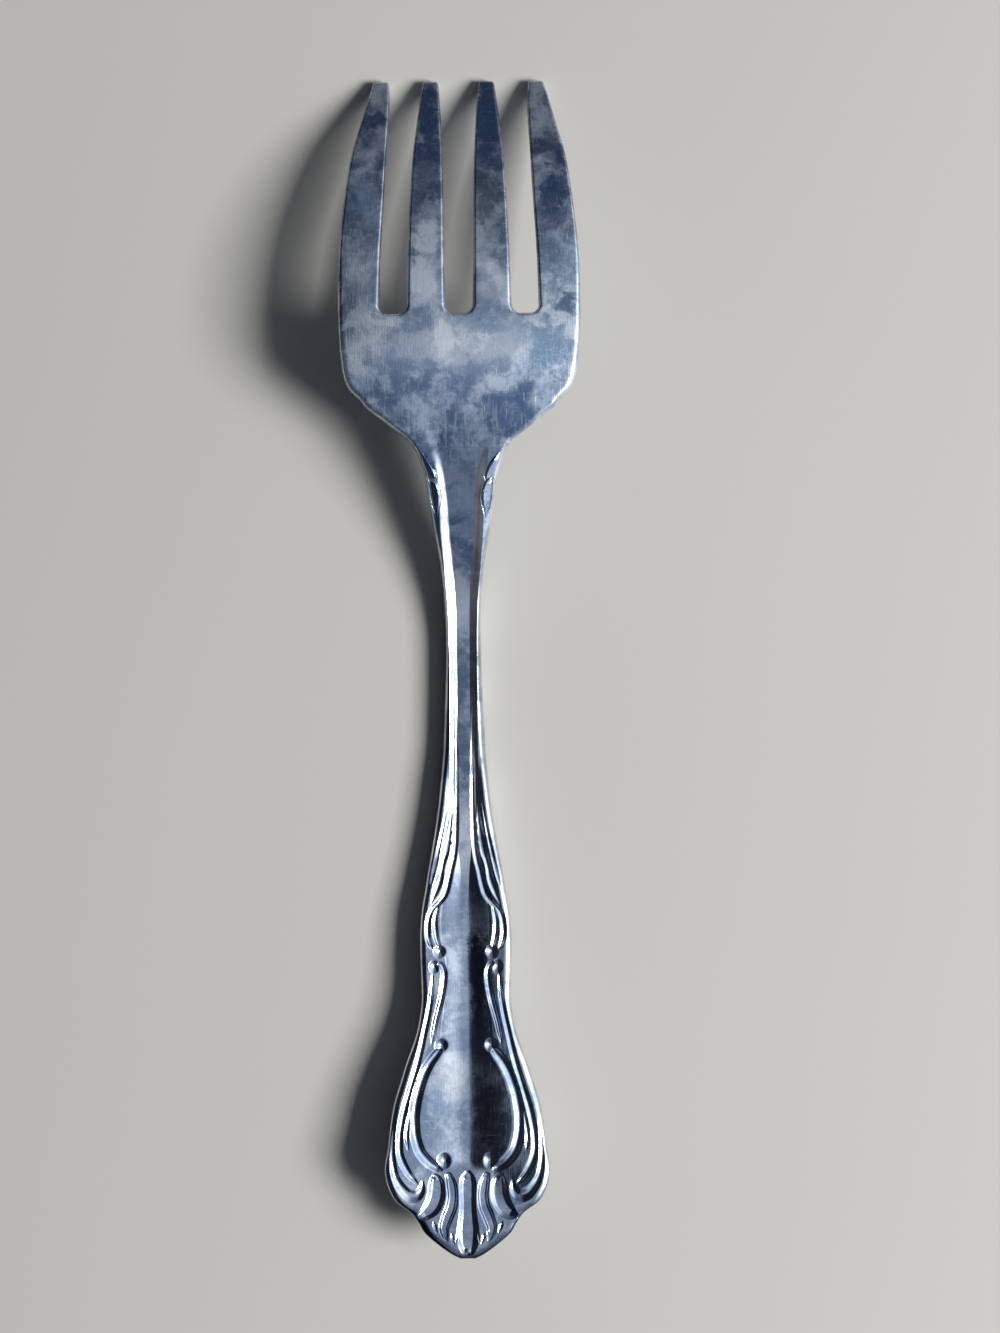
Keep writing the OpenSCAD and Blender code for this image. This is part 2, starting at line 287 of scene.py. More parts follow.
    @cached_property
    def head_width(self) -> float:
        """Width of the head at the roots of the tines."""
        return 2 * (self.inner_tine_width + self.outer_tine_width) + 3 * self.slot_width

    @cached_property
    def slot_middles(self) -> tuple[float, float, float]:
        """Places of the middles of the three slots."""
        step = self.inner_tine_width + self.slot_width
        return (-step, 0.0, step)

    @cached_property
    def outline(self) -> Array:
        """Finds the outline of the blank up to the roots of the tines.

        Returns:
            Rows of a place along Y and half the width there.
        """
        parts = (
            (self.shell_outline, self.end_y, self.shell_length, 0.0, self.shell_width),
            (self.lower_outline, self.shell_y, self.lower_handle_length,
             self.waist_width, self.shell_width),
            (self.upper_outline, self.pinch_y, self.upper_handle_length,
             self.stem_foot_width, self.pinch_width),
            (self.stem_foot, self.stem_foot_y, self.stem_length,
             self.stem_width, self.stem_foot_width),
            (self.stem_head, self.stem_foot_y, self.stem_length,
             self.stem_width, self.stem_head_width),
            (self.neck_outline, self.stem_head_y, self.neck_length,
             self.stem_head_width, self.neck_width),
            (self.shoulder_outline, self.neck_y, self.shoulder_length,
             self.neck_width, self.corner_width),
            (self.palm_outline, self.corner_y, self.palm_length, self.corner_width, self.head_width),
        )
        return np.array([
            (start + along * length, mix(narrow, wide, share) / 2)
            for shares, start, length, narrow, wide in parts
            for along, share in shares
        ])

    def half_width(self, y: Array) -> Array:
        """Half the width of the blank at places along Y."""
        return curve(self.outline, y)

    def side_gap(self, x: Array, y: Array) -> Array:
        """Finds how far places lie from the nearer side of the blank.

        Args:
            x: Places across, in millimetres.
            y: Places along.

        Returns:
            The distance square to the side, below zero past it.
        """
        lean = (self.half_width(y + SIDE_STEP) - self.half_width(y - SIDE_STEP)) / (2 * SIDE_STEP)
        return (self.half_width(y) - np.abs(x)) / np.sqrt(1 + lean**2)

    def thickness(self, y: Array) -> Array:
        """Finds the thickness of the steel.

        Args:
            y: Places along, in millimetres.

        Returns:
            The thickness there, thickest at the stem and thinnest at the tips.
        """
        tines = mix(self.head_thickness, self.tip_thickness,
                    np.clip((y - self.slot_floor_y) / self.tine_length, 0, 1))
        head = mix(self.stem_thickness, self.head_thickness,
                   over(y, (self.stem_head_y, self.heel_y)))
        handle = mix(self.handle_thickness, self.stem_thickness,
                     over(y, (self.pinch_y, self.stem_foot_y)))
        return np.where(y > self.slot_floor_y, tines, np.where(y > self.stem_head_y, head, handle))

    def spine(self, y: Array) -> Array:
        """Finds how high the middle of the steel lies above the table.

        Args:
            y: Places along, in millimetres.

        Returns:
            The height there: lowest at the stem and the tips, highest at the heel.
        """
        rest_z = self.stem_thickness / 2 + self.channel_depth - self.rest_wear
        heel_z = self.head_thickness / 2 + self.heel_rise
        tines = mix(heel_z, self.tip_thickness / 2,
                    np.clip((y - self.heel_y) / (self.tip_y - self.heel_y), 0, 1) ** self.head_bend)
        neck = mix(rest_z, heel_z, over(y, (self.rest_start_y, self.heel_y)))
        back = np.clip((self.rest_end_y - y) / (self.rest_end_y - self.end_y), 0, 1)
        tail = rest_z + self.tail_rise * back**self.tail_bend
        return np.where(y >= self.heel_y, tines, np.where(y >= self.rest_start_y, neck, tail))

    def dish(self, x: Array, y: Array) -> Array:
        """Finds how far the head curves down towards its sides.

        Args:
            x: Places across, in millimetres.
            y: Places along.

        Returns:
            The drop below the middle, zero at the handle and at the tips.
        """
        across = (2 * x / self.head_width) ** 2
        rise = over(y, (self.stem_head_y, self.slot_floor_y))
        return self.head_dish * across * rise * (1 - over(y, (self.slot_floor_y, self.tip_y)))


@dataclass(frozen=True)
class Line:
    """Line on the back, given on the right side and mirrored to the left.

    Each row of the path holds a place across, a place along from the end of the handle, and the
    width of the line there.
    """

    path: Path

    # Number of points from one row of the path to the next, and the least width
    STEPS: ClassVar[int] = 8
    THINNEST: ClassVar[float] = 0.02
    # Least square of the length from one point to the next
    LEAST_SQUARE: ClassVar[float] = 1e-9
    # How soon the line is full as it widens, and the curve by which it fills
    FILL_RATE: ClassVar[float] = 1.5
    FILL_POWER: ClassVar[float] = 1.5
    # Reach that stands for places away from the line
    AWAY: ClassVar[float] = 9.0

    @cached_property
    def points(self) -> Array:
        """Runs a smooth curve through the path.

        Returns:
            Rows like those of the path, closer together.
        """
        rows = np.array(self.path, dtype=float)
        before = np.vstack([2 * rows[0] - rows[1], rows])
        padded = np.vstack([before, 2 * rows[-1] - rows[-2]])
        points = []
        for i in range(1, len(padded) - 2):
            a, b, c, d = padded[i - 1:i + 3]
            # Smooth cubic from the second of four rows to the third
            for t in np.arange(self.STEPS) / self.STEPS:
                points.append(0.5 * (2 * b + (c - a) * t + (2 * a - 5 * b + 4 * c - d) * t**2
                                     + (3 * b - a - 3 * c + d) * t**3))
        points.append(rows[-1])
        smooth = np.array(points)
        smooth[:, 2] = np.maximum(smooth[:, 2], self.THINNEST)
        return smooth

    def reach(self, x: Array, along: Array) -> tuple[Array, Array, Array]:
        """Finds how far places lie from the line.

        Args:
            x: Places across, in millimetres.
            along: Places along, from the end of the handle.

        Returns:
            The share of the way from the line's middle to its edge, how full the line is there,
            and whether the place is on the outer side of the line.
        """
        best_all = np.full(x.shape, self.AWAY)
        full_all = np.zeros(x.shape)
        outer_all = np.zeros(x.shape, dtype=bool)
        points = self.points
        widest = points[:, 2].max()
        side = np.abs(x)
        near = ((side > points[:, 0].min() - widest) & (side < points[:, 0].max() + widest)
                & (along > points[:, 1].min() - widest) & (along < points[:, 1].max() + widest))
        if not near.any():
            return best_all, full_all, outer_all
        px, py = side[near], along[near]
        best, full, outer = best_all[near], full_all[near], outer_all[near]
        for start, end in zip(points[:-1], points[1:]):
            run = end - start
            square = max(run[0] ** 2 + run[1] ** 2, self.LEAST_SQUARE)
            t = np.clip(((px - start[0]) * run[0] + (py - start[1]) * run[1]) / square, 0, 1)
            width = start[2] + run[2] * t
            gap = np.hypot(px - start[0] - run[0] * t, py - start[1] - run[1] * t)
            reach = gap / (width / 2)
            nearer = reach < best
            filled = np.clip(width / widest * self.FILL_RATE, 0, 1) ** self.FILL_POWER
            best = np.where(nearer, reach, best)
            full = np.where(nearer, filled, full)
            outer = np.where(nearer, px > start[0] + run[0] * t, outer)
        best_all[near], full_all[near], outer_all[near] = best, full, outer
        return best_all, full_all, outer_all


@dataclass(frozen=True)
class Stroke(Line):
    """Line pressed into the back."""

    depth: float
    floor: Floor = Floor.HOLLOW

    # Where a flat floor ends on the way to the line's edge, and how full a hollow one is
    FLAT_SHARE: ClassVar[float] = 0.4
    HOLLOW_POWER: ClassVar[float] = 1.7

    def profile(self, reach: Array) -> Array:
        """Finds how deep the line's cross section is.

        Args:
            reach: Shares of the way from the line's middle to its edge.

        Returns:
            The shares of the full depth.
        """
        if self.floor is Floor.FLAT:
            return 1 - over(reach, (self.FLAT_SHARE, 1))
        return (1 - np.clip(reach, 0, 1) ** 2) ** self.HOLLOW_POWER

    def pressed(self, x: Array, along: Array) -> Array:
        """Depth of the line at places across and along, zero away from it."""
        reach, full, _ = self.reach(x, along)
        return self.depth * full * self.profile(reach)


@dataclass(frozen=True)
class Leaf(Line):
    """Raised leaf on the channel's wall, steep on its inner side and leaning outwards.

    A fine groove runs round it.
    """

    swell: float = 0.3
    groove: float = 0.12
    groove_power: float = 1.5
    # Share of the reach that the leaf takes up, before its groove
    body: float = 0.8
    crest: float = 0.35
    # Share of the swell that is lost from the crest outwards
    fall: float = 0.75
    edge_rate: float = 3.0
    fill_power: float = 0.35

    def added(self, base: Array, x: Array, along: Array) -> Array:
        """Finds the change of depth that the leaf makes.

        Args:
            base: Depth of the channel, in millimetres.
            x: Places across.
            along: Places along, from the end of the handle.

        Returns:
            The change at each place, below zero where the leaf fills the channel.
        """
        reach, full, outer = self.reach(x, along)
        inside = np.clip(1 - (reach / self.body) ** 2, 0, 1)
        across = np.where(outer, reach, -reach) + self.body
        fallen = np.clip(across - self.crest, 0, 1) * self.fall
        top = ease(across / self.crest) * (1 - fallen) * ease(inside * self.edge_rate)
        ring = np.clip(1 - ((reach - self.body) / (1 - self.body)) ** 2, 0, 1) ** self.groove_power
        return full * (self.groove * ring - self.swell * top - base * inside**self.fill_power)


@dataclass(frozen=True)
class Bead:
    """Round hollow pressed at the end of a scroll, on both sides."""

    x: float
    along: float
    radius: float
    depth: float
    stretch: float = 1.0
    # Share of a bowl in the hollow's form, the rest being a cone
    roundness: float = 0.45

    def pressed(self, x: Array, along: Array) -> Array:
        """Finds how deep the hollow is.

        Args:
            x: Places across, in millimetres.
            along: Places along, from the end of the handle.

        Returns:
            The depth at each place, zero outside the hollow.
        """
        reach = np.hypot((np.abs(x) - self.x) / self.radius,
                         (along - self.along) / (self.radius * self.stretch))
        held = np.clip(reach, 0, 1)
        return self.depth * mix(1 - held, 1 - held**2, self.roundness)


@dataclass(frozen=True)
class Relief:
    """Everything pressed into the back of the handle: channel, panel, scrolls, leaves and shell.

    Spans are places along, from the end of the handle, between which one form becomes another.
    """

    shape: ForkShape
    fan_depth: float = 0.3
    fan_margin: float = 0.01
    panel_start: Span = (9.6, 12.2)

    crease_round: float = 0.45
    crease_width: float = 2.5
    crease_end: Span = (44, 50)
    least_border: float = 0.35
    least_wall: float = 0.2
    wall_curve: float = 0.12
    neck_curve: float = 0.7
    neck_start: Span = (82, 90)

    # Slope of the border on the lower and on the upper handle
    scroll_lean: float = 0.14
    border_lean: float = 0.3
    border_change: Span = (41, 49)
    border_start: Span = (3, 11)
    border_end: Span = (74, 62)
    rim_width: float = 0.8
    least_rim: float = 0.1

    stem_lean: float = 0.36
    stem_lean_start: Span = (58, 66)
    stem_lean_end: Span = (99, 94)

    # Distance over which the slope of a wall is measured, and where it starts to count
    wall_step: float = 0.05
    steep_start: Span = (50, 58)

    # Rows of a place along, from the end of the handle, and the depth of the middle
    middle_depths: Table = (
        (9.5, 0.78), (12.7, 0.92), (16, 0.96), (19.5, 0.94), (23, 0.84), (26.7, 0.62), (30, 0.5),
        (35.4, 0.44), (40, 0.5), (44, 0.5), (48, 0.46), (52, 0.42), (58, 0.42), (66, 0.58), (76, 0.6),
        (90, 0.58), (95, 0.52), (98, 0.42), (100.5, 0.24), (102.5, 0.09), (105, 0.02), (108, 0),
        (111, 0),
    )
    # Rows of a place along and half the width of the flat floor
    floor_half: Table = (
        (0, 0), (30, 0), (44, 0.05), (48, 0.45), (51, 0.8), (56, 0.8), (64, 0.84), (76, 0.84),
        (83, 0.92), (88, 1.2), (92, 1.5), (96, 1.75), (100, 2.25), (104, 3.2), (112, 5.5),
    )
    # Rows of a place along and half the width at the top of the channel's or the panel's wall
    wall_half: Table = (
        (9.5, 3.0), (10.8, 3.6), (11.8, 4.3), (12.7, 5.0), (13.8, 5.6), (15.2, 5.95), (17.2, 6.1),
        (19.1, 6.0), (21.1, 5.6), (23, 5.1), (24.7, 4.3), (26.7, 3.45), (28.6, 3.2), (32, 2.7),
        (35.4, 2.4), (38.2, 2.7), (40, 3.1), (42.8, 3.15), (45.5, 2.75), (48, 2.3), (51, 1.95),
        (56, 1.92), (60, 1.84), (68, 1.78), (76, 1.8), (83, 1.98), (88, 2.4), (92, 2.72), (96, 2.88),
        (100, 3.4), (104, 4.6), (112, 8),
    )

    scrolls: tuple[Stroke, ...] = (
        # Inner scroll, from the stem down to the lens above the pinch
        Stroke(((1.0, 72, 0.05), (1.04, 66, 0.35), (1.1, 61, 0.7), (1.15, 56, 0.9), (1.38, 51, 1.0),
                (1.9, 48.4, 1.0), (2.3, 46.5, 1.0), (2.65, 45.4, 0.95), (3.4, 44.4, 0.9),
                (4.1, 43.65, 0.9), (4.55, 42.9, 0.9), (4.8, 41.8, 0.95), (4.85, 40.4, 0.9),
                (4.6, 39.3, 0.7), (4.3, 38.7, 0.4)), 0.29),
        Stroke(((3.45, 44.1, 0.3), (3.7, 43.3, 0.7), (3.9, 42.2, 0.85), (3.9, 41.2, 0.85),
                (3.75, 40, 0.8), (3.5, 39.1, 0.6), (3.35, 38.6, 0.4)), 0.26),
        # Two lines that leave the stem's wall and run beside the inner scroll
        Stroke(((1.55, 59, 0.2), (1.7, 56.4, 0.45), (1.88, 54.4, 0.8), (2.15, 52.6, 1.25),
                (2.45, 51, 1.3), (2.75, 49.8, 0.9), (3.0, 48.7, 0.85), (3.3, 47.3, 1.15),
                (3.75, 45.9, 0.95), (4.15, 44.9, 0.5), (4.4, 44.2, 0.1)), 0.26),
        Stroke(((2.25, 57, 0.12), (2.85, 53.6, 0.42), (3.4, 51.2, 0.7),
                (3.8, 49.4, 0.7), (4.15, 47.8, 0.6), (4.5, 46.2, 0.1)), 0.15),
        # Waist: a hooked line, and the line of the border, which runs into the shell
        Stroke(((3.75, 36.6, 0.5), (3.15, 36.5, 0.85), (2.8, 35.6, 0.95), (2.85, 34.2, 0.95),
                (3.15, 32.4, 0.95), (3.5, 31, 0.9), (3.9, 29.5, 0.8), (4.2, 28, 0.7),
                (4.4, 26.8, 0.25)), 0.3),
        Stroke(((4.25, 35.2, 0.35), (4.42, 33, 0.75), (4.77, 30.7, 0.85), (5.25, 28.5, 0.9),
                (5.8, 26, 0.95), (6.35, 23.8, 0.95), (6.9, 22, 0.95), (7.4, 20.3, 0.95),
                (8.05, 18, 1.0), (8.5, 15.5, 1.0), (8.55, 13.3, 1.05), (8.1, 11.8, 1.05),
                (7.4, 10.5, 0.95), (6.7, 9.65, 0.6), (6.35, 9.3, 0.3)), 0.27),
        # C-scroll round the panel, with its spur
        Stroke(((3.3, 26.0, 0.9), (3.95, 25.2, 1.3), (4.7, 24.2, 1.45), (5.4, 22.9, 1.5),
                (6.05, 21.1, 1.55), (6.5, 19.2, 1.55), (6.7, 17.4, 1.5), (6.6, 15.5, 1.45),
                (6.35, 14.3, 1.45), (5.9, 13.1, 1.45), (4.9, 11.9, 1.4), (4.0, 11.2, 1.2),
                (3.4, 10.9, 0.7)), 0.42),
        Stroke(((6.95, 18.9, 0.3), (7.42, 17, 0.7), (7.66, 15.2, 0.75), (7.5, 13.6, 0.3)), 0.22),
        # Outer line, which hooks into the volute beside the shell
        Stroke(((9.1, 17.2, 0.2), (9.35, 15.2, 0.6), (9.45, 13.3, 0.85), (9.4, 11.7, 0.95),
                (9.1, 10.2, 1.1), (8.45, 8.95, 1.35), (7.5, 7.95, 1.6), (6.5, 7.75, 1.6),
                (5.85, 8.4, 1.1), (5.7, 9.4, 0.5)), 0.34),
    )
    flutes: tuple[Stroke, ...] = (
        Stroke(((0, 10.2, 1.1), (0, 9.3, 2.2), (0, 8.2, 2.4), (0, 6.9, 2.2), (0, 5.9, 2.3), (0, 4.8, 2.6),
                (0, 3.6, 3.0), (0, 2.4, 2.9), (0, 1.5, 2.3), (0, 0.9, 1.2)), 0.4, Floor.FLAT),
        Stroke(((2.4, 10.1, 0.9), (2.05, 8.9, 1.45), (1.9, 7.6, 1.5), (2.1, 6.3, 1.6), (2.6, 5.1, 1.6),
                (3.0, 3.9, 1.4), (2.85, 2.9, 0.9), (2.6, 2.3, 0.3)), 0.36, Floor.FLAT),
        Stroke(((4.1, 10.0, 0.9), (3.95, 9.1, 2.1), (4.0, 7.7, 2.45), (4.45, 6.5, 2.4), (5.25, 5.7, 1.8),
                (6.0, 5.3, 0.9), (6.5, 5.2, 0.3)), 0.42, Floor.FLAT),
        Stroke(((0.95, 4.8, 0.15), (1.1, 3.9, 0.45), (1.25, 3.0, 0.5), (1.5, 2.1, 0.2)), 0.14),
        Stroke(((2.0, 3.2, 0.15), (1.95, 2.6, 0.5), (1.75, 1.9, 0.2)), 0.16),
        Stroke(((4.3, 4.6, 0.2), (4.15, 4.0, 0.6), (3.9, 3.3, 0.2)), 0.18),
    )
    leaves: tuple[Leaf, ...] = (
        Leaf(((4.8, 101.1, 0.4), (4.4, 100.2, 0.95), (3.98, 99.4, 1.25), (3.6, 98.5, 1.4),
              (3.4, 97.8, 0.5))),
        Leaf(((3.85, 98.1, 0.3), (3.42, 97.3, 1.2), (3.17, 96, 1.5), (3.15, 94.7, 1.0),
              (3.12, 93.5, 0.25))),
    )
    beads: tuple[Bead, ...] = (
        Bead(3.35, 38.2, 0.84, 0.45),
        Bead(4.05, 36.3, 0.7, 0.38, 1.25),
        Bead(3.2, 26.4, 0.87, 0.48),
        Bead(2.95, 11.9, 0.9, 0.5, 1.2),
    )

    def wall(self, y: Array) -> Array:
        """Half the width of the channel or the panel at its top."""
        half = curve(np.array(self.wall_half), y - self.shape.end_y)
        return np.minimum(half, self.shape.half_width(y) - self.least_border)

    def panel(self, x: Array, along: Array) -> Array:
        """Finds how deep the channel and the panel that it opens into are.

        Args:
            x: Places across, in millimetres.
            along: Places along, from the end of the handle.

        Returns:
            The depth at each place, zero outside the wall.
        """
        floor = curve(np.array(self.floor_half), along)
        wall = self.wall(along + self.shape.end_y)
        crease = self.crease_round * np.exp(-(x / self.crease_width) ** 2)
        creased = np.sqrt(x**2 + self.crease_round**2) - crease
        side = mix(creased, np.abs(x), over(along, self.crease_end))
        reach = np.clip((side - floor) / np.maximum(wall - floor, self.least_wall), 0, 1)
        curved = mix(self.wall_curve, self.neck_curve, over(along, self.neck_start))
        return curve(np.array(self.middle_depths), along) * mix(1 - reach, 1 - ease(reach), curved)

    def fan(self, x: Array, along: Array) -> Array:
        """Depth of the hollow that the shell's flutes lie in."""
        half = self.shape.half_width(along + self.shape.end_y) + self.fan_margin
        return self.fan_depth * (1 - np.clip(np.abs(x) / half, 0, 1) ** 2)

    def border(self, x: Array, along: Array) -> Array:
        """Finds how far the border outside the channel and the panel leans inwards.

        Args:
            x: Places across, in millimetres.
            along: Places along, from the end of the handle.

        Returns:
            The depth at each place, zero at the rim.
        """
        y = along + self.shape.end_y
        rim = np.maximum(self.shape.half_width(y) - self.rim_width, self.least_rim)
        lean = mix(self.scroll_lean, self.border_lean, over(along, self.border_change))
        lean = lean * over(along, self.border_end) * over(along, self.border_start)
        return lean * np.maximum(rim - np.maximum(np.abs(x), np.minimum(self.wall(y), rim)), 0)

    def base(self, x: Array, along: Array) -> Array:
        """Depth of the form that the lines are pressed into: shell, panel, channel and border."""
        form = mix(self.fan(x, along), self.panel(x, along), over(along, self.panel_start))
        return form + self.border(x, along)

    def shed(self, x: Array, y: Array) -> Array:
        """Finds how far the border leans outwards along the stem and the neck.

        Args:
            x: Places across, in millimetres.
            y: Places along.

        Returns:
            The drop at each place, zero in the channel.
        """
        along = y - self.shape.end_y
        lean = self.stem_lean * over(along, self.stem_lean_start) * over(along, self.stem_lean_end)
        return lean * np.maximum(np.abs(x) - self.wall(y), 0)

    def steepness(self, x: Array, y: Array) -> Array:
        """Finds how steep the walls of the channel are.

        Args:
            x: Places across, in millimetres.
            y: Places along.

        Returns:
            The slope at each place, zero below the upper handle.
        """
        along, step = y - self.shape.end_y, self.wall_step
        rise = np.abs(self.base(x + step, along) - self.base(x - step, along)) / (2 * step)
        return rise * over(along, self.steep_start)

    def pressed(self, x: Array, y: Array) -> Array:
        """Finds how deep the whole relief is.

        Args:
            x: Places across, in millimetres.
            y: Places along.

        Returns:
            The depth at each place.
        """
        along = y - self.shape.end_y
        lines = np.zeros_like(x)
        for form in self.scrolls + self.flutes + self.beads:
            lines = np.maximum(lines, form.pressed(x, along))
        base = self.base(x, along)
        for leaf in self.leaves:
            lines = lines + leaf.added(base, x, along)
        return base + lines


@dataclass(frozen=True)
class Blank:
    """Flat grid, extruded to a closed slab, whose points are then pressed into shape."""

    name: str
    node: str
    slot: Slot
    low_y: float
    high_y: float
    width: float
    columns: int
    rows: int
    thickness: float = 2.0
    # Greatest angle between two faces that are shaded as one, in degrees
    smooth_angle: float = 50.0

    def cut(self) -> bpy.types.Object:
        """Adds the slab as by hand: a grid at its size and place, extruded downwards.

        Returns:
            The new object, with its place in its mesh.
        """
        bpy.ops.object.select_all(action="DESELECT")
        length = self.high_y - self.low_y
        bpy.ops.mesh.primitive_grid_add(
            x_subdivisions=self.columns, y_subdivisions=self.rows, size=self.width * MM,
            location=(0, (self.low_y + self.high_y) / 2 * MM, 0))
        piece = bpy.context.object
        piece.name = piece.data.name = self.name
        bpy.ops.object.mode_set(mode="EDIT")
        bpy.ops.mesh.select_all(action="SELECT")
        bpy.ops.transform.resize(value=(1, length / self.width, 1))
        bpy.ops.mesh.extrude_region_move(
            TRANSFORM_OT_translate={"value": (0, 0, -self.thickness * MM)})
        bpy.ops.object.mode_set(mode="OBJECT")
        bpy.ops.object.transform_apply(location=True, rotation=True, scale=True)
        return piece

    def grid(self, piece: bpy.types.Object) -> tuple[Array, Array, Array]:
        """Reads where each point of the slab lies on the grid.

        Args:
            piece: The slab, still flat.

        Returns:
            Shares across and along, both from 0 to 1, and whether the point is on the back.
        """
        count = len(piece.data.vertices)
        flat = np.empty(count * 3)
        piece.data.vertices.foreach_get("co", flat)
        x, y, z = flat.reshape(-1, 3).T / MM
        across = np.round((x / self.width + 0.5) * self.columns) / self.columns
        along = np.round((y - self.low_y) / (self.high_y - self.low_y) * self.rows) / self.rows
        return across, along, z > -self.thickness / 2

    def press(self, piece: bpy.types.Object, x: Array, y: Array, z: Array,
              marks: dict[str, Array]) -> None:
        """Moves the points to their places and smooths the shading.

        Args:
            piece: The slab.
            x: Places across, in millimetres.
            y: Places along.
            z: Heights.
            marks: Named values of each point, kept for the finish.
        """
        mesh = piece.data
        mesh.vertices.foreach_set("co", (np.column_stack([x, y, z]) * MM).ravel())
        for name, values in marks.items():
            mark = mesh.attributes.new(name, "FLOAT", "POINT")
            mark.data.foreach_set("value", values.astype(np.float32))
        mesh.update()
        select_only(piece)
        face_outwards()
        bpy.ops.object.shade_smooth_by_angle(angle=math.radians(self.smooth_angle))

    def declare(self, piece: bpy.types.Object) -> None:
        """Attaches the piece to the body and hides the imported solid that it stands for.

        Args:
            piece: The piece.
        """
        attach(piece, "root")
        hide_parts(self.node)


@dataclass(frozen=True)
class Edge:
    """Rounding along the edges of the blank."""

    # Rows of a place along, from the end of the handle, and the width of the rounding
    widths: Table = ((0, 1.5), (6, 1.4), (11, 1.1), (30, 0.95), (50, 0.85), (63, 0.7), (78, 0.56),
                     (90, 0.48), (99, 0.46), (104, 0.6), (112, 0.9), (118, 0.65), (124, 0.48),
                     (150, 0.4))
    # Share of half the thickness that the rounding takes away, and how much of it the bevel has
    fullness: float = 0.86
    bevel: float = 0.22
    bevel_power: int = 6
    # Where the quarter round of the handle becomes the worn bevel of the head
    bevel_start: Span = (100, 109)

    def drop(self, gap: Array, along: Array, thickness: Array) -> Array:
        """Finds how far the rounding lies below the flat of the back.

        Args:
            gap: Distances from the edge.
            along: Places along, from the end of the handle.
            thickness: Thickness of the steel.

        Returns:
            The drop at each place: a quarter round on the handle, a worn bevel on the head.
        """
        width = curve(np.array(self.widths), along)
        inward = np.clip(1 - gap / width, 0, 1)
        round_drop = self.fullness * (1 - np.sqrt(1 - inward**2))
        rest = (self.fullness - self.bevel) * inward**self.bevel_power
        bevel_drop = self.bevel * inward**2 + rest
        return thickness / 2 * mix(round_drop, bevel_drop, over(along, self.bevel_start))


@dataclass(frozen=True)
class Pressing:
    """Turns places on the blank into heights of its back and front."""

    shape: ForkShape
    relief: Relief
    edge: Edge
    wear_width: float = 0.7
    # Width of the rim mask at the shell, which carries painted shade at its end, and the length over which
    # it narrows
    shell_rim_width: float = 1.5
    shell_rim_length: float = 6.0
    # Slope from which a wall is rubbed bright
    rubbed_slope: float = 0.5
    # Distance from the edge over which the relief fades in, on the lower and on the upper handle
    lower_fade: float = 0.65
    upper_fade: float = 0.4
    least_thickness: float = 0.1

    def heights(self, x: Array, y: Array, gap: Array, back: Array) -> tuple[Array, dict[str, Array]]:
        """Finds the height of each point of a piece.

        Args:
            x: Places across, in millimetres.
            y: Places along.
            gap: Distances from the edge of the blank.
            back: Whether the point is on the back.

        Returns:
            The heights, and the marks for the finish: depth of the relief, and the mask of the rims and
            steep walls that is rubbed bright and, at the end of the shell, carries painted shade.
        """
        shape = self.shape
        thickness = shape.thickness(y)
        drop = self.edge.drop(gap, y - shape.end_y, thickness)
        pressed, steep = np.zeros_like(x), np.zeros_like(x)
        if y.min() < shape.corner_y:
            pressed = self.relief.pressed(x, y)
            steep = self.relief.steepness(x, y)
            drop = drop + self.relief.shed(x, y)
        fade = mix(self.lower_fade, self.upper_fade, over(y, (shape.pinch_y, shape.stem_foot_y)))
        held = pressed * ease(gap / fade)
        middle = shape.spine(y) - shape.dish(x, y) - held
        upper = middle + thickness / 2 - drop
        lower = np.maximum(middle - thickness / 2 + drop, 0.0)
        lower = np.minimum(lower, upper - self.least_thickness)
        width = mix(self.shell_rim_width, self.wear_width,
                    over(y, (shape.shell_y, shape.shell_y + self.shell_rim_length)))
        worn = np.maximum(1 - ease(gap / width), ease(steep / self.rubbed_slope))
        return np.where(back, upper, lower), {"pressed": held, "worn": worn}

    def piece(self, blank: Blank, layout: Layout) -> bpy.types.Object:
        """Cuts a blank and presses it.

        Args:
            blank: The blank.
            layout: Turns shares across and along into places and distances from the edge.

        Returns:
            The pressed piece, undressed.
        """
        piece = blank.cut()
        across, along, back = blank.grid(piece)
        x, y, gap = layout(across, along)
        z, marks = self.heights(x, y, gap, back)
        blank.press(piece, x, y, z, marks)
        return piece


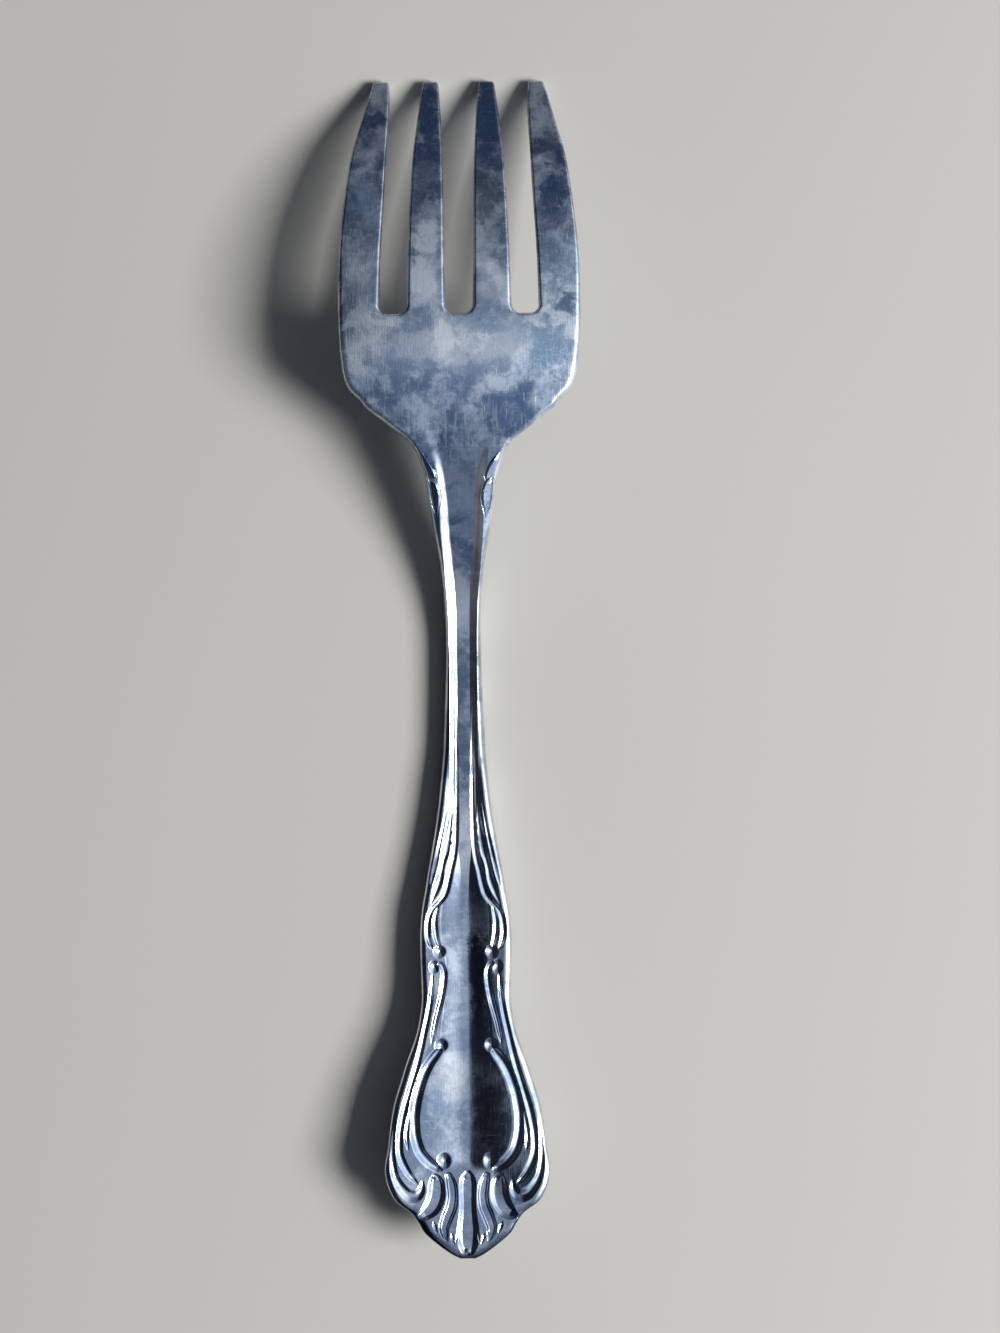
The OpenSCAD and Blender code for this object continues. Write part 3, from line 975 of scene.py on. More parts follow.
@dataclass
class Handle:
    """Neck, stem, upper handle, lower handle and shell, as rows across one outline."""

    shape: ForkShape
    pressing: Pressing
    # Radius of the blend between the sides and the end of the shell
    end_blend: float = 0.18
    # Shares of the columns that lie in the channel and as far as the crest of the rim
    panel_columns: float = 0.36
    crest_columns: float = 0.86
    crest_width: float = 0.85
    least_border: float = 0.2
    # How the columns in the channel draw together towards its middle
    panel_power: float = 1.6
    panel_crowding: float = 0.5
    # Lengths above the shell and below the stem over which the columns start to run with the wall
    shell_follow: float = 3.0
    stem_follow: float = 6.0

    def blanks(self) -> tuple[Blank, ...]:
        """Lists the blanks of the five pieces.

        Returns:
            The blanks, from the neck to the end.
        """
        shape = self.shape
        # Name, node, lower end, upper end, width, columns and rows of each piece
        rows = (
            ("neck_back", "neck", shape.stem_head_y, shape.neck_y, shape.neck_width, 130, 100),
            ("stem_channel", "stem", shape.stem_foot_y, shape.stem_head_y, shape.stem_head_width,
             130, 300),
            ("upper_scrolls", "upper_handle", shape.pinch_y, shape.stem_foot_y, shape.pinch_width,
             156, 310),
            ("lower_scrolls", "lower_handle", shape.shell_y, shape.pinch_y, shape.shell_width,
             190, 256),
            ("shell_fan", "shell_tip", shape.end_y, shape.shell_y, shape.shell_width, 250, 194),
        )
        return tuple(Blank(name, node, Slot.HANDLE, *sizes) for name, node, *sizes in rows)

    def gap(self, x: Array, y: Array) -> Array:
        """Finds how far places lie from the edge of the handle.

        Args:
            x: Places across, in millimetres.
            y: Places along.

        Returns:
            The distance from the sides and the end, with a soft corner between them.
        """
        sides = self.shape.side_gap(x, y)
        end = y - self.shape.end_y
        apart = np.abs(sides - end) / self.end_blend
        rounded = np.minimum(sides, end) - self.end_blend * np.log1p(np.exp(-apart))
        return np.maximum(rounded, 0)

    def spread(self, turn: Array, y: Array) -> Array:
        """Spreads the columns, so that they run with the scrolls and lie closest in the border.

        Args:
            turn: Share of the half width, from -1 to 1, that an even spread would give.
            y: Places along.

        Returns:
            Places across, in millimetres.
        """
        half = self.shape.half_width(y)
        crest = half - self.crest_width
        wall = np.minimum(self.pressing.relief.wall(y), crest - self.least_border)
        side = np.abs(turn)
        inner = side / self.panel_columns
        inner = wall * mix(inner, inner**self.panel_power, self.panel_crowding)
        border = mix(wall, crest, (side - self.panel_columns) / (self.crest_columns - self.panel_columns))
        past = np.clip((side - self.crest_columns) / (1 - self.crest_columns), 0, 1)
        rim = mix(crest, half, np.sin(past * math.pi / 2))
        led = np.where(side < self.panel_columns, inner, np.where(side < self.crest_columns, border, rim))
        shell_y, stem_y = self.shape.shell_y, self.shape.stem_foot_y
        follows = over(y, (shell_y, shell_y + self.shell_follow))
        follows = follows * over(y, (stem_y, stem_y - self.stem_follow))
        return mix(crowd(turn) * half, np.sign(turn) * led, follows)

    def lay(self, blank: Blank, across: Array, along: Array) -> tuple[Array, Array, Array]:
        """Lays out the points of one piece.

        Args:
            blank: The piece's blank.
            across: Shares across.
            along: Shares along.

        Returns:
            Places across and along, and distances from the edge.
        """
        y = mix(blank.low_y, blank.high_y, along)
        x = self.spread(2 * across - 1, y)
        return x, y, self.gap(x, y)

    def build(self) -> list[bpy.types.Object]:
        """Cuts and presses the five pieces.

        Returns:
            The finished pieces, undressed.
        """
        pieces = []
        for blank in self.blanks():
            piece = self.pressing.piece(blank, partial(self.lay, blank))
            blank.declare(piece)
            pieces.append(piece)
        return pieces


@dataclass
class Head:
    """Palm, with the floors of the slots in its top edge, and shoulder."""

    shape: ForkShape
    pressing: Pressing
    tine_columns: int = 26
    tine_crowding: float = 0.4
    slot_columns: int = 22
    # How far inside a slot its floor starts
    slot_margin: float = 1e-6
    palm_rows: int = 60
    shoulder_columns: int = 150
    shoulder_rows: int = 56

    def slot_gap(self, x: Array, y: Array) -> Array:
        """Finds how far places lie from the nearest slot.

        Args:
            x: Places across, in millimetres.
            y: Places along.

        Returns:
            The distance, zero in a slot.
        """
        shape = self.shape
        gaps = []
        for middle in shape.slot_middles:
            over_x = np.abs(x - middle) - (shape.slot_width / 2 - shape.slot_corner)
            outside = np.hypot(np.maximum(over_x, 0), np.maximum(shape.tine_root_y - y, 0))
            gaps.append(outside - shape.slot_corner)
        return np.maximum(np.minimum.reduce(gaps), 0)

    @cached_property
    def columns(self) -> Array:
        """Spreads the palm's columns, closer together round the corners of the slots.

        Returns:
            Places across, at the top edge.
        """
        shape = self.shape
        edges = [-shape.head_width / 2]
        for middle in shape.slot_middles:
            edges += [middle - shape.slot_width / 2, middle + shape.slot_width / 2]
        edges.append(shape.head_width / 2)
        places = [edges[0]]
        for i, (start, end) in enumerate(zip(edges[:-1], edges[1:])):
            in_slot = i % 2 == 1
            count = self.slot_columns if in_slot else self.tine_columns
            share = np.arange(1, count + 1) / count
            crowded = 0.5 - 0.5 * np.cos(math.pi * share)
            if not in_slot:
                crowded = mix(share, crowded, self.tine_crowding)
            places += list(mix(start, end, crowded))
        return np.array(places)

    def top(self, x: Array) -> Array:
        """Finds the palm's top edge: the roots of the tines and the floors of the slots.

        Args:
            x: Places across, in millimetres.

        Returns:
            The place along Y of the edge.
        """
        shape = self.shape
        top = np.full(x.shape, shape.tine_root_y)
        for middle in shape.slot_middles:
            side = np.abs(x - middle)
            past = np.maximum(side - (shape.slot_width / 2 - shape.slot_corner), 0)
            arc = np.sqrt(np.maximum(shape.slot_corner**2 - past**2, 0))
            inside = side < shape.slot_width / 2 - self.slot_margin
            top = np.where(inside, shape.tine_root_y - arc, top)
        return top

    def lay_palm(self, across: Array, along: Array) -> tuple[Array, Array, Array]:
        """Lays out the points of the palm.

        Args:
            across: Shares across.
            along: Shares along.

        Returns:
            Places across and along, and distances from the edge.
        """
        shape, places = self.shape, self.columns
        top_x = places[np.round(across * (len(places) - 1)).astype(int)]
        y = mix(shape.corner_y, self.top(top_x), along)
        x = top_x / (shape.head_width / 2) * shape.half_width(y)
        return x, y, np.minimum(np.maximum(shape.side_gap(x, y), 0), self.slot_gap(x, y))

    def lay_shoulder(self, across: Array, along: Array) -> tuple[Array, Array, Array]:
        """Lays out the points of the shoulder.

        Args:
            across: Shares across.
            along: Shares along.

        Returns:
            Places across and along, and distances from the edge.
        """
        shape = self.shape
        y = mix(shape.neck_y, shape.corner_y, along)
        x = crowd(2 * across - 1) * shape.half_width(y)
        return x, y, np.maximum(shape.side_gap(x, y), 0)

    def build(self) -> list[bpy.types.Object]:
        """Cuts and presses the palm and the shoulder.

        Returns:
            The finished pieces, undressed.
        """
        shape = self.shape
        palm = Blank("palm_back", "palm", Slot.HEAD, shape.corner_y, shape.tine_root_y,
                     shape.head_width, len(self.columns) - 1, self.palm_rows)
        shoulder = Blank("shoulder_back", "shoulder", Slot.HEAD, shape.neck_y, shape.corner_y,
                         shape.corner_width, self.shoulder_columns, self.shoulder_rows)
        pieces = []
        for blank, layout in ((palm, self.lay_palm), (shoulder, self.lay_shoulder)):
            piece = self.pressing.piece(blank, layout)
            blank.declare(piece)
            pieces.append(piece)
        return pieces


@dataclass(frozen=True)
class Tine:
    """One tine of the right side and its copy on the left.

    The root and the tip are places across of its middle, and the taper holds shares of the way from
    the root and of the step to the tip's width.
    """

    kind: str
    root: float
    tip: float
    width: float
    taper: Table


@dataclass
class Tines:
    """The four tines: one outer and one inner tine are pressed, then copied to the other side."""

    shape: ForkShape
    pressing: Pressing
    tine_columns: int = 34
    tine_rows: int = 190
    # How far the rows are crowded towards the tip
    row_crowding: float = 0.3
    outer_taper: Table = ((0, 0), (0.25, -0.02), (0.47, 0.06), (0.69, 0.27), (0.83, 0.56), (0.92, 0.76),
                          (1, 1))
    inner_taper: Table = ((0, 0), (0.25, 0.12), (0.47, 0.24), (0.69, 0.43), (0.83, 0.66), (0.92, 0.83),
                          (1, 1))
    lean: Table = ((0, 0), (0.25, 0.06), (0.47, 0.25), (0.69, 0.5), (0.83, 0.76), (0.92, 0.91), (1, 1))

    def tines(self) -> tuple[Tine, Tine]:
        """Lists the tines of the right side.

        Returns:
            The outer tine and the inner one.
        """
        shape = self.shape
        return (
            Tine("outer", (shape.head_width - shape.outer_tine_width) / 2, shape.outer_tip_spread / 2,
                 shape.outer_tine_width, self.outer_taper),
            Tine("inner", (shape.inner_tine_width + shape.slot_width) / 2, shape.inner_tip_spread / 2,
                 shape.inner_tine_width, self.inner_taper),
        )

    def lay(self, tine: Tine, blank: Blank, across: Array, along: Array) -> tuple[Array, Array, Array]:
        """Lays out the points of one tine of the right side.

        Args:
            tine: The tine.
            blank: Its blank.
            across: Shares across.
            along: Shares along.

        Returns:
            Places across and along, and distances from the edge.
        """
        shape = self.shape
        y = mix(blank.low_y, blank.high_y, mix(along, 1 - (1 - along) ** 2, self.row_crowding))
        share = (y - shape.slot_floor_y) / shape.tine_length
        middle = mix(tine.root, tine.tip, curve(np.array(self.lean), share))
        half = mix(tine.width, shape.tip_width, curve(np.array(tine.taper), share)) / 2
        past = np.clip((y - shape.tip_y + shape.tip_corner) / shape.tip_corner, 0, 1)
        narrowed = half - shape.tip_corner * (1 - np.sqrt(1 - past**2))
        offset = crowd(2 * across - 1) * narrowed
        gap = np.minimum(narrowed - np.abs(offset), shape.tip_y - y)
        return middle + offset, y, np.maximum(gap, 0)

    def mirrored(self, piece: bpy.types.Object, blank: Blank) -> bpy.types.Object:
        """Copies a right tine to the left side, with its own mesh.

        Args:
            piece: The right tine.
            blank: The left tine's blank.

        Returns:
            The left tine.
        """
        select_only(piece)
        bpy.ops.object.duplicate(linked=False)
        copy = bpy.context.object
        copy.name = copy.data.name = blank.name
        bpy.ops.transform.mirror(constraint_axis=(True, False, False), center_override=(0, 0, 0))
        bpy.ops.object.transform_apply(location=True, rotation=True, scale=True)
        face_outwards()
        return copy

    def build(self) -> list[bpy.types.Object]:
        """Presses two tines and copies them.

        Returns:
            The four tines, undressed.
        """
        shape = self.shape
        pieces = []
        for tine in self.tines():
            right, left = (
                Blank(f"{tine.kind}_tine_{side}_back", f"{tine.kind}_tine_{side}", Slot.TINES,
                      shape.tine_root_y, shape.tip_y, tine.width, self.tine_columns, self.tine_rows)
                for side in ("right", "left"))
            piece = self.pressing.piece(right, partial(self.lay, tine, right))
            copy = self.mirrored(piece, left)
            right.declare(piece)
            left.declare(copy)
            pieces += [piece, copy]
        return pieces


class Value:
    """Number that a shader node gives, with the usual operators."""

    def __init__(self, graph: "Graph", socket: bpy.types.NodeSocket) -> None:
        """Keeps the graph and the node's output."""
        self.graph = graph
        self.socket = socket

    def __add__(self, other: "Value | float") -> "Value":
        """Adds."""
        return self.graph.math("ADD", self, other)

    def __sub__(self, other: "Value | float") -> "Value":
        """Subtracts."""
        return self.graph.math("SUBTRACT", self, other)

    def __rsub__(self, other: float) -> "Value":
        """Subtracts this from a number."""
        return self.graph.math("SUBTRACT", other, self)

    def __mul__(self, other: "Value | float") -> "Value":
        """Multiplies."""
        return self.graph.math("MULTIPLY", self, other)

    def __truediv__(self, other: "Value | float") -> "Value":
        """Divides."""
        return self.graph.math("DIVIDE", self, other)

    __radd__ = __add__
    __rmul__ = __mul__

    def held(self) -> "Value":
        """Holds the number between 0 and 1."""
        return self.graph.math("ADD", self, 0.0, clamp=True)


class Graph:
    """Node tree of one material, and short ways to add nodes to it."""

    def __init__(self, name: str, tree: bpy.types.NodeTree | None = None) -> None:
        """Makes a bare material, or empties the tree that is given.

        Args:
            name: Name of the material.
            tree: The tree to use in its place.
        """
        self.material = None
        if tree is None:
            self.material = bpy.data.materials.new(name)
            self.material.use_nodes = True
            tree = self.material.node_tree
        self.tree = tree
        self.tree.nodes.clear()

    def node(self, kind: str, settings: dict | None = None, inputs: dict | None = None) -> bpy.types.Node:
        """Adds a node.

        Args:
            kind: Type of the node.
            settings: Its properties; the stops of a ramp go under "stops".
            inputs: Numbers, colours or links for its sockets, by name or place.

        Returns:
            The node.
        """
        node = self.tree.nodes.new(kind)
        for key, value in (settings or {}).items():
            if key == "stops":
                self.fill(node.color_ramp, value)
            else:
                setattr(node, key, value)
        for key, value in (inputs or {}).items():
            if isinstance(value, Value):
                self.tree.links.new(value.socket, node.inputs[key])
            elif isinstance(value, bpy.types.NodeSocket):
                self.tree.links.new(value, node.inputs[key])
            else:
                node.inputs[key].default_value = value
        return node

    @staticmethod
    def fill(ramp: bpy.types.ColorRamp, stops: tuple[tuple[float, Colour], ...]) -> None:
        """Fills a ramp with its stops.

        Args:
            ramp: The ramp, with two stops or more.
            stops: Rows of a place from 0 to 1 and a colour.
        """
        while len(ramp.elements) < len(stops):
            ramp.elements.new(1.0)
        for element, (place, colour) in zip(ramp.elements, stops):
            element.position = place
            element.color = (*colour, 1.0)

    def math(self, operation: str, a: Value | float, b: Value | float = 0.0, clamp: bool = False) -> Value:
        """Adds a Math node."""
        node = self.node("ShaderNodeMath", {"operation": operation, "use_clamp": clamp}, {0: a, 1: b})
        return Value(self, node.outputs[0])

    def blend(self, share: Value | float, low: Value | Colour, high: Value | Colour,
              way: str = "MIX") -> Value:
        """Mixes two colours.

        Args:
            share: Share of the second colour.
            low: The first colour.
            high: The second colour.
            way: How the second colour is laid over the first.

        Returns:
            The mixed colour.
        """
        plain = [(*c, 1.0) if isinstance(c, tuple) else c for c in (low, high)]
        node = self.node("ShaderNodeMix", {"data_type": "RGBA", "blend_type": way},
                         {0: share, 6: plain[0], 7: plain[1]})
        return Value(self, node.outputs[2])

    def shaded(self, colour: Value, shade: Colour) -> Value:
        """Multiplies a colour by a shade."""
        return self.blend(1.0, colour, shade, "MULTIPLY")

    def band(self, number: Value, low: float, high: float) -> Value:
        """Rises smoothly from 0 to 1 while a number grows.

        Args:
            number: The number.
            low: Where the rise starts.
            high: Where it ends.

        Returns:
            The share of the rise.
        """
        node = self.node("ShaderNodeMapRange", {"interpolation_type": "SMOOTHSTEP"},
                         {0: number, 1: low, 2: high})
        return Value(self, node.outputs[0])

    def over(self, place: Value, span: Span) -> Value:
        """Rises smoothly from 0 to 1 while a place in metres crosses a span in millimetres."""
        return self.band(place, span[0] * MM, span[1] * MM)

    def noise(self, where: Value, scale: float, detail: float, rough: float = 0.55,
              swirl: float = 0.0, output: int = 0) -> Value:
        """Adds a noise.

        Args:
            where: Coordinates, in metres.
            scale: Number of waves per metre.
            detail: Number of finer noises that are added.
            rough: Weight of the finer noises.
            swirl: How far the noise is twisted.
            output: 0 for a number, 1 for a colour of three numbers.

        Returns:
            The noise, from 0 to 1.
        """
        node = self.node("ShaderNodeTexNoise", {}, {
            "Vector": where, "Scale": scale, "Detail": detail, "Roughness": rough,
            "Distortion": swirl})
        return Value(self, node.outputs[output])

    def mapped(self, where: Value, scale: Vector, turn: float) -> Value:
        """Stretches and turns the coordinates of a pattern.

        Args:
            where: Coordinates, in metres.
            scale: Stretch across, along and upwards.
            turn: Turn about the vertical, in radians.

        Returns:
            The new coordinates.
        """
        node = self.node("ShaderNodeMapping", {}, {
            "Vector": where, "Scale": scale, "Rotation": (0.0, 0.0, turn)})
        return Value(self, node.outputs[0])

    def parts(self, vector: Value) -> list[Value]:
        """Splits a vector or a colour into its three numbers."""
        node = self.node("ShaderNodeSeparateXYZ", {}, {0: vector})
        return [Value(self, output) for output in node.outputs]


class TarnishAndLight(Enum):
    """Colours that tarnish and wear give the steel, also laid as painted highlights and painted shade."""

    INK = (0.02, 0.034, 0.07)
    NAVY = (0.055, 0.1, 0.19)
    BLUE = (0.2, 0.32, 0.46)
    SMOKE = (0.12, 0.15, 0.16)
    PLUM = (0.13, 0.1, 0.15)
    PALE = (0.86, 0.88, 0.9)


@dataclass(frozen=True)
class StainOrPaintedLight:
    """Soft patch of one colour, at a place on the fork in millimetres. Most are stains of tarnish; the
    ones marked where they are listed are painted highlights and painted shade.
    """

    x: float
    y: float
    wide: float
    long: float
    amount: float
    tone: TarnishAndLight


@dataclass(frozen=True)
class Grain:
    """Noise cut to a band, of which only the heights in the band show."""

    # Waves per metre; 1 where the stretch across, along and upwards holds them
    scale: float
    detail: float
    rough: float
    band: Span
    swirl: float = 0.0
    stretch: Vector | None = None
    turn: float = 0.0

    def value(self, graph: Graph, coords: Value) -> Value:
        """Adds the nodes of the grain.

        Args:
            graph: Node tree of the material.
            coords: Places on the fork, in metres.

        Returns:
            The grain, from 0 to 1.
        """
        if self.stretch:
            coords = graph.mapped(coords, self.stretch, self.turn)
        return graph.band(graph.noise(coords, self.scale, self.detail, self.rough, self.swirl), *self.band)


class Trace(Enum):
    """Traces in the steel, from broad patches to small spots, each of one grain or two."""

    BROAD = (Grain(180.0, 4.0, 0.5, (0.38, 0.62), swirl=0.6),)
    SMALL = (Grain(540.0, 5.0, 0.6, (0.34, 0.66), swirl=0.8),)
    FINE = (Grain(1900.0, 4.0, 0.65, (0.35, 0.7)),)
    BRUSHED = (Grain(1.0, 3.0, 0.6, (0.35, 0.72), stretch=(8000.0, 300.0, 2500.0), turn=0.06),)
    NICKS = (Grain(1.0, 2.0, 0.4, (0.68, 0.76), stretch=(500.0, 7000.0, 1500.0), turn=0.5),
             Grain(1.0, 2.0, 0.4, (0.69, 0.77), stretch=(6500.0, 420.0, 1500.0), turn=0.75))
    FLECKS = (Grain(3200.0, 2.0, 0.5, (0.7, 0.78)),)
    LINES = (Grain(1.0, 2.0, 0.5, (0.54, 0.7), stretch=(2400.0, 110.0, 900.0), turn=0.03),)
    PITS = (Grain(1500.0, 2.0, 0.4, (0.74, 0.8)),)


Weights = tuple[tuple[Trace, float], ...]


class Surface:
    """Places on the fork, marks of its pieces and traces in its steel, as values of one material."""

    CLOUD: ClassVar[Weights] = ((Trace.BROAD, 0.5), (Trace.SMALL, 0.32), (Trace.FINE, 0.18))
    CLOUD_BAND: ClassVar[Span] = (0.12, 0.88)
    # Where the polishing lines start and end, along Y in millimetres
    LINES_START: ClassVar[Span] = (16.0, 26.0)
    LINES_END: ClassVar[Span] = (31.0, 39.0)

    def __init__(self, graph: Graph) -> None:
        """Reads the places and the marks, and adds the traces.

        Args:
            graph: Node tree of the material.
        """
        self.graph = graph
        self.coords = Value(graph, graph.node("ShaderNodeTexCoord").outputs["Object"])
        self.x, self.y, _ = graph.parts(self.coords)
        self.pressed, self.worn = (
            Value(graph, graph.node("ShaderNodeAttribute", {"attribute_name": name}).outputs["Fac"])
            for name in ("pressed", "worn"))
        self.traces = {}
        for trace in Trace:
            first, *more = (grain.value(graph, self.coords) for grain in trace.value)
            self.traces[trace] = sum(more, first).held() if more else first
        at_neck = graph.over(self.y, self.LINES_START) * (1.0 - graph.over(self.y, self.LINES_END))
        self.traces[Trace.LINES] = self.traces[Trace.LINES] * at_neck
        self.cloud = graph.band(self.weighed(self.CLOUD), *self.CLOUD_BAND)

    def weighed(self, weights: Weights) -> Value:
        """Adds traces up, each with its weight."""
        first, *more = (self.traces[trace] * weight for trace, weight in weights)
        return sum(more, first)

    def patchy(self, share: float) -> Value:
        """Goes from 1 down by a share where the cloudy tarnish is dark."""
        return (1.0 - share) + self.cloud * share


@dataclass(frozen=True)
class TarnishedSteel:
    """Worn steel with a blue-grey tarnish that varies along the fork, with painted light in its colour: a
    painted highlight across the heel, and painted shade towards the tips, on the shoulder and at the end
    of the shell.

    Spans are places along Y in millimetres, and bands are numbers from 0 to 1 unless said otherwise.
    """

    name: str
    length: float
    # Rows of a place along, from the end of the handle in millimetres, and a colour: the tone of the
    # tarnish, with painted light in it
    zones: tuple[tuple[float, Colour], ...]
    stains_and_painted_light: tuple[StainOrPaintedLight, ...]
    wander: float = 8.0
    wander_scale: float = 90.0

    mottle: float = 0.8
    mottle_dark: Colour = (0.4, 0.45, 0.56)
    mottle_pale: float = 0.48

    # How far and how finely the patches of stain and painted light are pulled out of shape, across and
    # along
    pull: tuple[float, float] = (4.0, 7.0)
    pull_scale: float = 300.0
    ragged: Weights = ((Trace.SMALL, 0.5), (Trace.FINE, 0.35))
    patch_edge: Span = (0.15, 1.35)
    patch_cloud: float = 0.9
    patch_least: float = 0.45

    # Depth in millimetres over which a pressed line darkens
    press_band: Span = (0.25, 1.2)
    press_dark: float = 0.22
    press_shade: Colour = (0.5, 0.52, 0.58)
    press_patches: float = 0.45
    rim_wear: float = 0.3
    rim_patches: float = 0.4
    rim_start: Span = (-70.0, -58.0)
    # Painted shade on the rim at the end of the shell, where it faces the shaded table, and where that
    # shade stops
    shell_rim_shade: float = 1.0
    shell_end: Span = (-71.0, -65.0)

    brushing: float = 0.1
    scratches: Weights = ((Trace.NICKS, 0.35), (Trace.FLECKS, 0.3), (Trace.LINES, 0.45))
    lightening: float = 0.5
    pitting: float = 0.6

    # Dull film that takes some of the shine off the stem and the neck, most of it where they are worn
    film: float = 0.1
    film_start: Span = (-16.0, -4.0)
    worn_film: float = 3.0
    worn_film_start: Span = (0.0, 20.0)
    film_end: Span = (36.0, 46.0)

    roughness: float = 0.21
    cloud_roughness: float = 0.07
    trace_roughness: Weights = ((Trace.BRUSHED, 0.04), (Trace.NICKS, 0.08))
    grain: float = 0.4
    grain_height: float = 0.02
    grain_traces: Weights = ((Trace.BRUSHED, 0.5), (Trace.FINE, 0.3), (Trace.NICKS, 0.5),
                             (Trace.SMALL, 0.5), (Trace.PITS, -0.8))

    def zoned(self, surface: Surface) -> Value:
        """Finds the colour along the fork: the tone of the tarnish, with painted highlight and painted
        shade in it.

        Args:
            surface: Values of the material.

        Returns:
            The colour, with wandering borders between the zones.
        """
        graph = surface.graph
        wander = graph.noise(surface.coords, self.wander_scale, detail=3.0) - 0.5
        along = (surface.y + wander * (self.wander * MM)) / (self.length * MM) + 0.5
        stops = tuple((place / self.length, colour) for place, colour in self.zones)
        ramp = graph.node("ShaderNodeValToRGB", {"stops": stops}, {0: along})
        return Value(graph, ramp.outputs[0])

    def mottled(self, surface: Surface, colour: Value) -> Value:
        """Lays darker and paler patches over a colour.

        Args:
            surface: Values of the material.
            colour: The colour.

        Returns:
            The mottled colour.
        """
        graph = surface.graph
        dark = graph.shaded(colour, self.mottle_dark)
        pale = graph.blend(self.mottle_pale, colour, TarnishAndLight.PALE.value)
        return graph.blend(self.mottle, colour, graph.blend(surface.cloud, dark, pale))

    def stained_and_lit(self, surface: Surface, colour: Value) -> Value:
        """Lays the stains and the patches of painted light and shade over a colour, with ragged outlines.

        Args:
            surface: Values of the material.
            colour: The colour.

        Returns:
            The colour with its stains and painted light.
        """
        graph = surface.graph
        pull = graph.noise(surface.coords, self.pull_scale, detail=4.0, rough=0.6, swirl=0.5, output=1)
        pull_x, pull_y, _ = graph.parts(pull)
        x = surface.x + (pull_x - 0.5) * (self.pull[0] * MM)
        y = surface.y + (pull_y - 0.5) * (self.pull[1] * MM)
        ragged = surface.weighed(self.ragged) - sum(weight for _, weight in self.ragged) / 2
        patchy = (surface.cloud * self.patch_cloud + self.patch_least).held()
        for patch in self.stains_and_painted_light:
            across = (x - patch.x * MM) / (patch.wide * MM)
            along = (y - patch.y * MM) / (patch.long * MM)
            reach = across * across + along * along + ragged
            spot = (1.0 - graph.band(reach, *self.patch_edge)) * patch.amount * patchy
            colour = graph.blend(spot.held(), colour, patch.tone.value)
        return colour

    def handled(self, surface: Surface, colour: Value) -> Value:
        """Darkens the pressed lines, paints shade on the rim at the end of the shell, and rubs the other
        rims bright.

        Args:
            surface: Values of the material.
            colour: The colour.

        Returns:
            The changed colour.
        """
        graph, worn = surface.graph, surface.worn
        recess = graph.band(surface.pressed, *self.press_band) * self.press_dark
        recess = (recess * surface.patchy(self.press_patches)).held()
        colour = graph.blend(recess, colour, graph.shaded(colour, self.press_shade))
        rubbed = worn * self.rim_wear * surface.patchy(self.rim_patches)
        rubbed = (rubbed * graph.over(surface.y, self.rim_start)).held()
        colour = graph.blend(rubbed, colour, TarnishAndLight.PALE.value)
        # Painted shade: the rim at the end of the shell goes dark, standing for the shaded table that it
        # faces.
        shell_shade = (worn * self.shell_rim_shade * (1.0 - graph.over(surface.y, self.shell_end))).held()
        return graph.blend(shell_shade, colour, TarnishAndLight.INK.value)

    def scratched(self, surface: Surface, colour: Value) -> Value:
        """Lays pale scratches and dark pits over a colour.

        Args:
            surface: Values of the material.
            colour: The colour.

        Returns:
            The scratched colour.
        """
        graph = surface.graph
        brushed = surface.traces[Trace.BRUSHED] * self.brushing
        light = (brushed + surface.weighed(self.scratches)).held()
        pale = graph.blend(self.lightening, colour, TarnishAndLight.PALE.value)
        pits = (surface.traces[Trace.PITS] * self.pitting).held()
        return graph.blend(pits, graph.blend(light, colour, pale), TarnishAndLight.NAVY.value)

    def shine(self, surface: Surface) -> Value:
        """Finds how metallic the steel looks.

        Args:
            surface: Values of the material.

        Returns:
            The share, below 1 where the dull film lies.
        """
        graph, y = surface.graph, surface.y
        worn = surface.worn * graph.over(y, self.worn_film_start) * self.worn_film
        film = (graph.over(y, self.film_start) + worn) * (1.0 - graph.over(y, self.film_end))
        return 1.0 - film * self.film

    def material(self) -> bpy.types.Material:
        """Builds the node tree.

        Returns:
            The finished material.
        """
        graph = Graph(self.name)
        surface = Surface(graph)
        colour = self.zoned(surface)
        for coat in (self.mottled, self.stained_and_lit, self.handled, self.scratched):
            colour = coat(surface, colour)
        rough = self.roughness + surface.cloud * self.cloud_roughness
        rough = (rough + surface.weighed(self.trace_roughness)).held()
        bump = graph.node("ShaderNodeBump", {}, {
            "Height": surface.weighed(self.grain_traces), "Strength": self.grain,
            "Distance": self.grain_height * MM})
        shader = graph.node("ShaderNodeBsdfPrincipled", {}, {
            "Base Color": colour, "Metallic": self.shine(surface), "Roughness": rough,
            "Normal": bump.outputs[0]})
        graph.node("ShaderNodeOutputMaterial", {}, {"Surface": shader.outputs[0]})
        return graph.material


